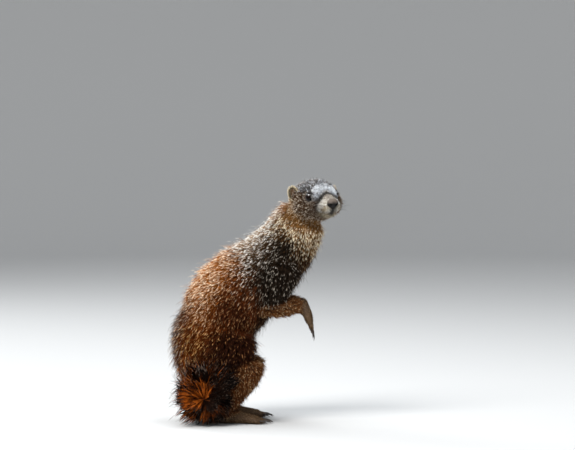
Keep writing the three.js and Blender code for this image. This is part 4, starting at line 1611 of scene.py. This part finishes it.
def noseMaterial():
    material, shader, tree = newMaterial("nose_leather")
    pebbles = addTexture(tree, "ShaderNodeTexVoronoi", Scale=noseShape["pebbles"])
    bumps = addNode(tree, "ShaderNodeBump", Strength=noseShape["bump"], Distance=noseShape["bumpDepth"])
    tree.links.new(pebbles.outputs["Distance"], bumps.inputs["Height"])
    tree.links.new(bumps.outputs["Normal"], shader.inputs["Normal"])
    tree.links.new(keptColour(tree), shader.inputs["Base Color"])
    shader.inputs["Roughness"].default_value = noseShape["roughness"]
    shader.inputs["Specular IOR Level"].default_value = noseShape["specular"]
    return material


def inNostril(y, z, size):  # how far a place is from a nostril's middle, 1 about its edge
    nostrilY, nostrilZ = noseShape["nostril"]
    sizeY, sizeZ = noseShape["nostrilSize"]
    aside = np.abs(y) - nostrilY
    slanted = z - nostrilZ - noseShape["slant"] * aside
    return (aside / (sizeY * size[0])) ** 2 + (slanted / (sizeZ * size[1])) ** 2


def noseColours(own):  # paler above, dark in the nostrils and the cleft
    x, y, z = own.T
    # paler on top: partly its own colour, partly painted light from above
    upward = ramp(z + 1.6 * (noise(own, 2.0, 8) - 0.5), -2.2, 5.5)
    side, top, pit = (paint(*noseShape[key]) for key in ("side", "top", "pit"))
    colours = side + upward[:, None] * (top - side)
    # darkest in the nostrils, the dark leather with painted shade deep in them; then dark in the cleft
    # below the nose
    dark = np.exp(-inNostril(y, z, (1.1, 1.2))) * (x > 0)
    dark = np.maximum(dark, bell(y, 0, 0.8) * ramp(-z, -2.0, 2.0))
    return colours + dark[:, None] * (pit - colours)


def makeNose():
    tilt, turn = np.meshgrid(np.linspace(0.01, math.pi - 0.01, 72),
                             np.linspace(0, 2 * math.pi, 96, endpoint=False), indexing="ij")
    ahead, across, up = np.cos(tilt), np.sin(tilt) * np.cos(turn), np.sin(tilt) * np.sin(turn)
    deep, wide, high = noseShape["radii"]
    y = across * (wide * (1 - noseShape["narrower"] * ramp(-up, 0.1, 1.0)))
    z = up * high
    inFront = ahead > 0
    pit = np.exp(-inNostril(y, z, (1, 1)) ** 1.3) * inFront
    wingAt = np.array(noseShape["nostril"]) + noseShape["wingFrom"]
    wing = mound(np.abs(y), z, wingAt, noseShape["wingSize"]) * inFront
    cleft = bell(y, 0, noseShape["cleftWidth"]) * ramp(-z, -2.5, 2.5) * inFront
    x = ahead * deep - pit * noseShape["nostrilDepth"]
    x += wing * noseShape["wing"] - cleft * noseShape["cleft"]
    own = np.stack([x, y, z], axis=-1)
    mesh = gridMesh("nose", fromHead(own.reshape(-1, 3) + noseShape["at"]).reshape(own.shape))
    paintMesh(mesh, noseColours(onHead(meshArrays(mesh)[0]) - noseShape["at"]))
    addPiece("nose_pad", mesh, noseMaterial(), ["nose"])


def ontoSkin(points, tree, lift):
    placed = []
    for p in points:
        spot, normal = tree.find_nearest(Vector(p))[:2]
        placed.append(np.array(spot) + np.array(normal) * lift)
    return np.array(placed)


def makeLips(tree):
    material = mottledMaterial("lips", lips["finish"])
    steps = lips["steps"]
    parts = []
    for side in sides.values():
        line = curveThrough(np.array(face["mouthLine"], float) * [1, side, 1], steps)
        path = ontoSkin(fromHead(line), tree, lips["lift"])
        radii = lips["radius"] * mm * np.clip(1.25 - np.linspace(0, 1.15, steps), 0.12, 1)
        parts.append(taperedTube("lip", path, radii, 8))
    addPiece("lips", joinMeshes("lips", parts), material)


whiskers = {
    "perSide": 13, "length": (26, 44), "radius": 0.17,
    "rows": [(96, 11.5, -3.5), (94, 13, -7.5), (92, 14, -11)],  # where the first of each row grows
    "step": (-3.2, 1.1, 0.5),  # from one whisker to the next in its row
    "droop": (-0.65, 0, -0.25), "drooping": 0.55,
    "rooted": -0.6 * mm,
    "finish": {"colour": (26, 20, 18), "tones": (0.85, 1.15), "grainSize": 400.0, "grainDetail": 3.0,
               "roughness": 0.4, "specular": 0.5, "gloss": 0.0},
}


def makeWhiskers(tree):
    material = mottledMaterial("whisker", whiskers["finish"])
    rng = np.random.default_rng(31)
    steps = np.linspace(0, 1, 12)
    parts = []
    for side in sides.values():
        for i in range(whiskers["perSide"]):
            back, row = divmod(i, 3)
            root = (np.array(whiskers["rows"][row]) + np.array(whiskers["step"]) * back) * [1, side, 1]
            length = rng.uniform(*whiskers["length"]) * (0.75 + 0.08 * back)
            ahead = -0.25 - 0.10 * back + 0.1 * rng.normal()
            rise = -0.12 * row + 0.16 + 0.05 * rng.normal()
            out = unit([ahead, side, rise])
            start = onHead(ontoSkin(fromHead(root[None]), tree, whiskers["rooted"]))[0]
            droop = np.array(whiskers["droop"]) * steps[:, None] ** 2 * whiskers["drooping"]
            path = start + length * (out * steps[:, None] + droop)
            radii = whiskers["radius"] * mm * np.linspace(1, 0.15, len(steps))
            parts.append(taperedTube("whisker", fromHead(path), radii, 5))
    addPiece("whiskers", joinMeshes("whiskers", parts), material)


clawShape = {
    "stations": 14, "around": 18,
    "thick": 0.62,  # of the solid's
    "cuts": (0.0, 0.35, 0.7, 1.0), "cutReach": 0.2,  # where the solid's middle is measured, along it
    "taper": (0.45, 0.52), "point": 0.04,
    "finish": {"colour": (40, 32, 27), "tones": (0.7, 2.2), "grainSize": 350.0, "grainDetail": 4.0,
               "roughness": 0.48, "specular": 0.3, "gloss": 0.0},
}


def clawMesh(name, wrist):
    co = meshArrays(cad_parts[name].data)[0]
    middle = co.mean(0)
    axis = np.linalg.svd(co - middle)[2][0]
    axis = axis * np.sign(np.dot(axis, middle - wrist))
    way = (co - middle) @ axis
    low, length = way.min(), np.ptp(way)
    aside = co - middle - way[:, None] * axis
    stops = []
    for cut in clawShape["cuts"]:
        near = np.abs(way - (low + cut * length)) < clawShape["cutReach"] * length
        stops.append(middle + aside[near].mean(0) + axis * (low + cut * length))
    stops[-1] = co[way.argmax()]
    path = curveThrough(stops, clawShape["stations"])
    t = np.linspace(0, 1, clawShape["stations"])
    first, second = clawShape["taper"]
    radii = np.linalg.norm(aside, axis=1).max() * clawShape["thick"]
    radii = radii * np.clip(1.0 - first * t - second * t ** 2, clawShape["point"], 1)
    return taperedTube("claw", path, radii, clawShape["around"])


def makeClaws():
    material = mottledMaterial("claw", clawShape["finish"])
    for paw in paws:
        parts = [clawMesh(name, nodeCentre(paw)) for name in clawNodes(paw)]
        addPiece("claws_" + paw, joinMeshes("claws", parts), material, clawNodes(paw))


print("marmot: making the studio and the skin")
makeCamera()
makeFloor()
makeLights()
skinMesh, skinWeights = makeSkinMesh()
skinPoints, skinEdges = meshArrays(skinMesh)
skinNormals = unit(spread(vertexNormals(skinMesh), skinEdges, 2))
skinMap = mapOf(skinPoints, skinWeights)
skinLook = lookAt(skinMap)
paintMesh(skinMesh, 0.6 * skinLook["under"] + 0.4 * skinLook["middle"])
fleshNodes = [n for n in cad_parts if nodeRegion(n) or n.startswith(("tail", "ear"))]
fleshNodes = [n for n in fleshNodes if n != "nose" and not n.startswith("eye")]
addPiece("skin", skinMesh, skinMaterial(), replaces=fleshNodes)
print("marmot: skin has", len(skinMesh.vertices), "points")

print("marmot: making the coat")
makeCoat(skinMap, skinNormals, triangles(skinMesh), lieOfCoat(skinMap, skinNormals, skinEdges))

print("marmot: making the eyes, nose, lips, whiskers and claws")
skinFaces = [f.vertices[:] for f in skinMesh.polygons]
skinTree = BVHTree.FromPolygons([v.co[:] for v in skinMesh.vertices], skinFaces)
makeEyes()
makeNose()
makeLips(skinTree)
makeWhiskers(skinTree)
makeClaws()
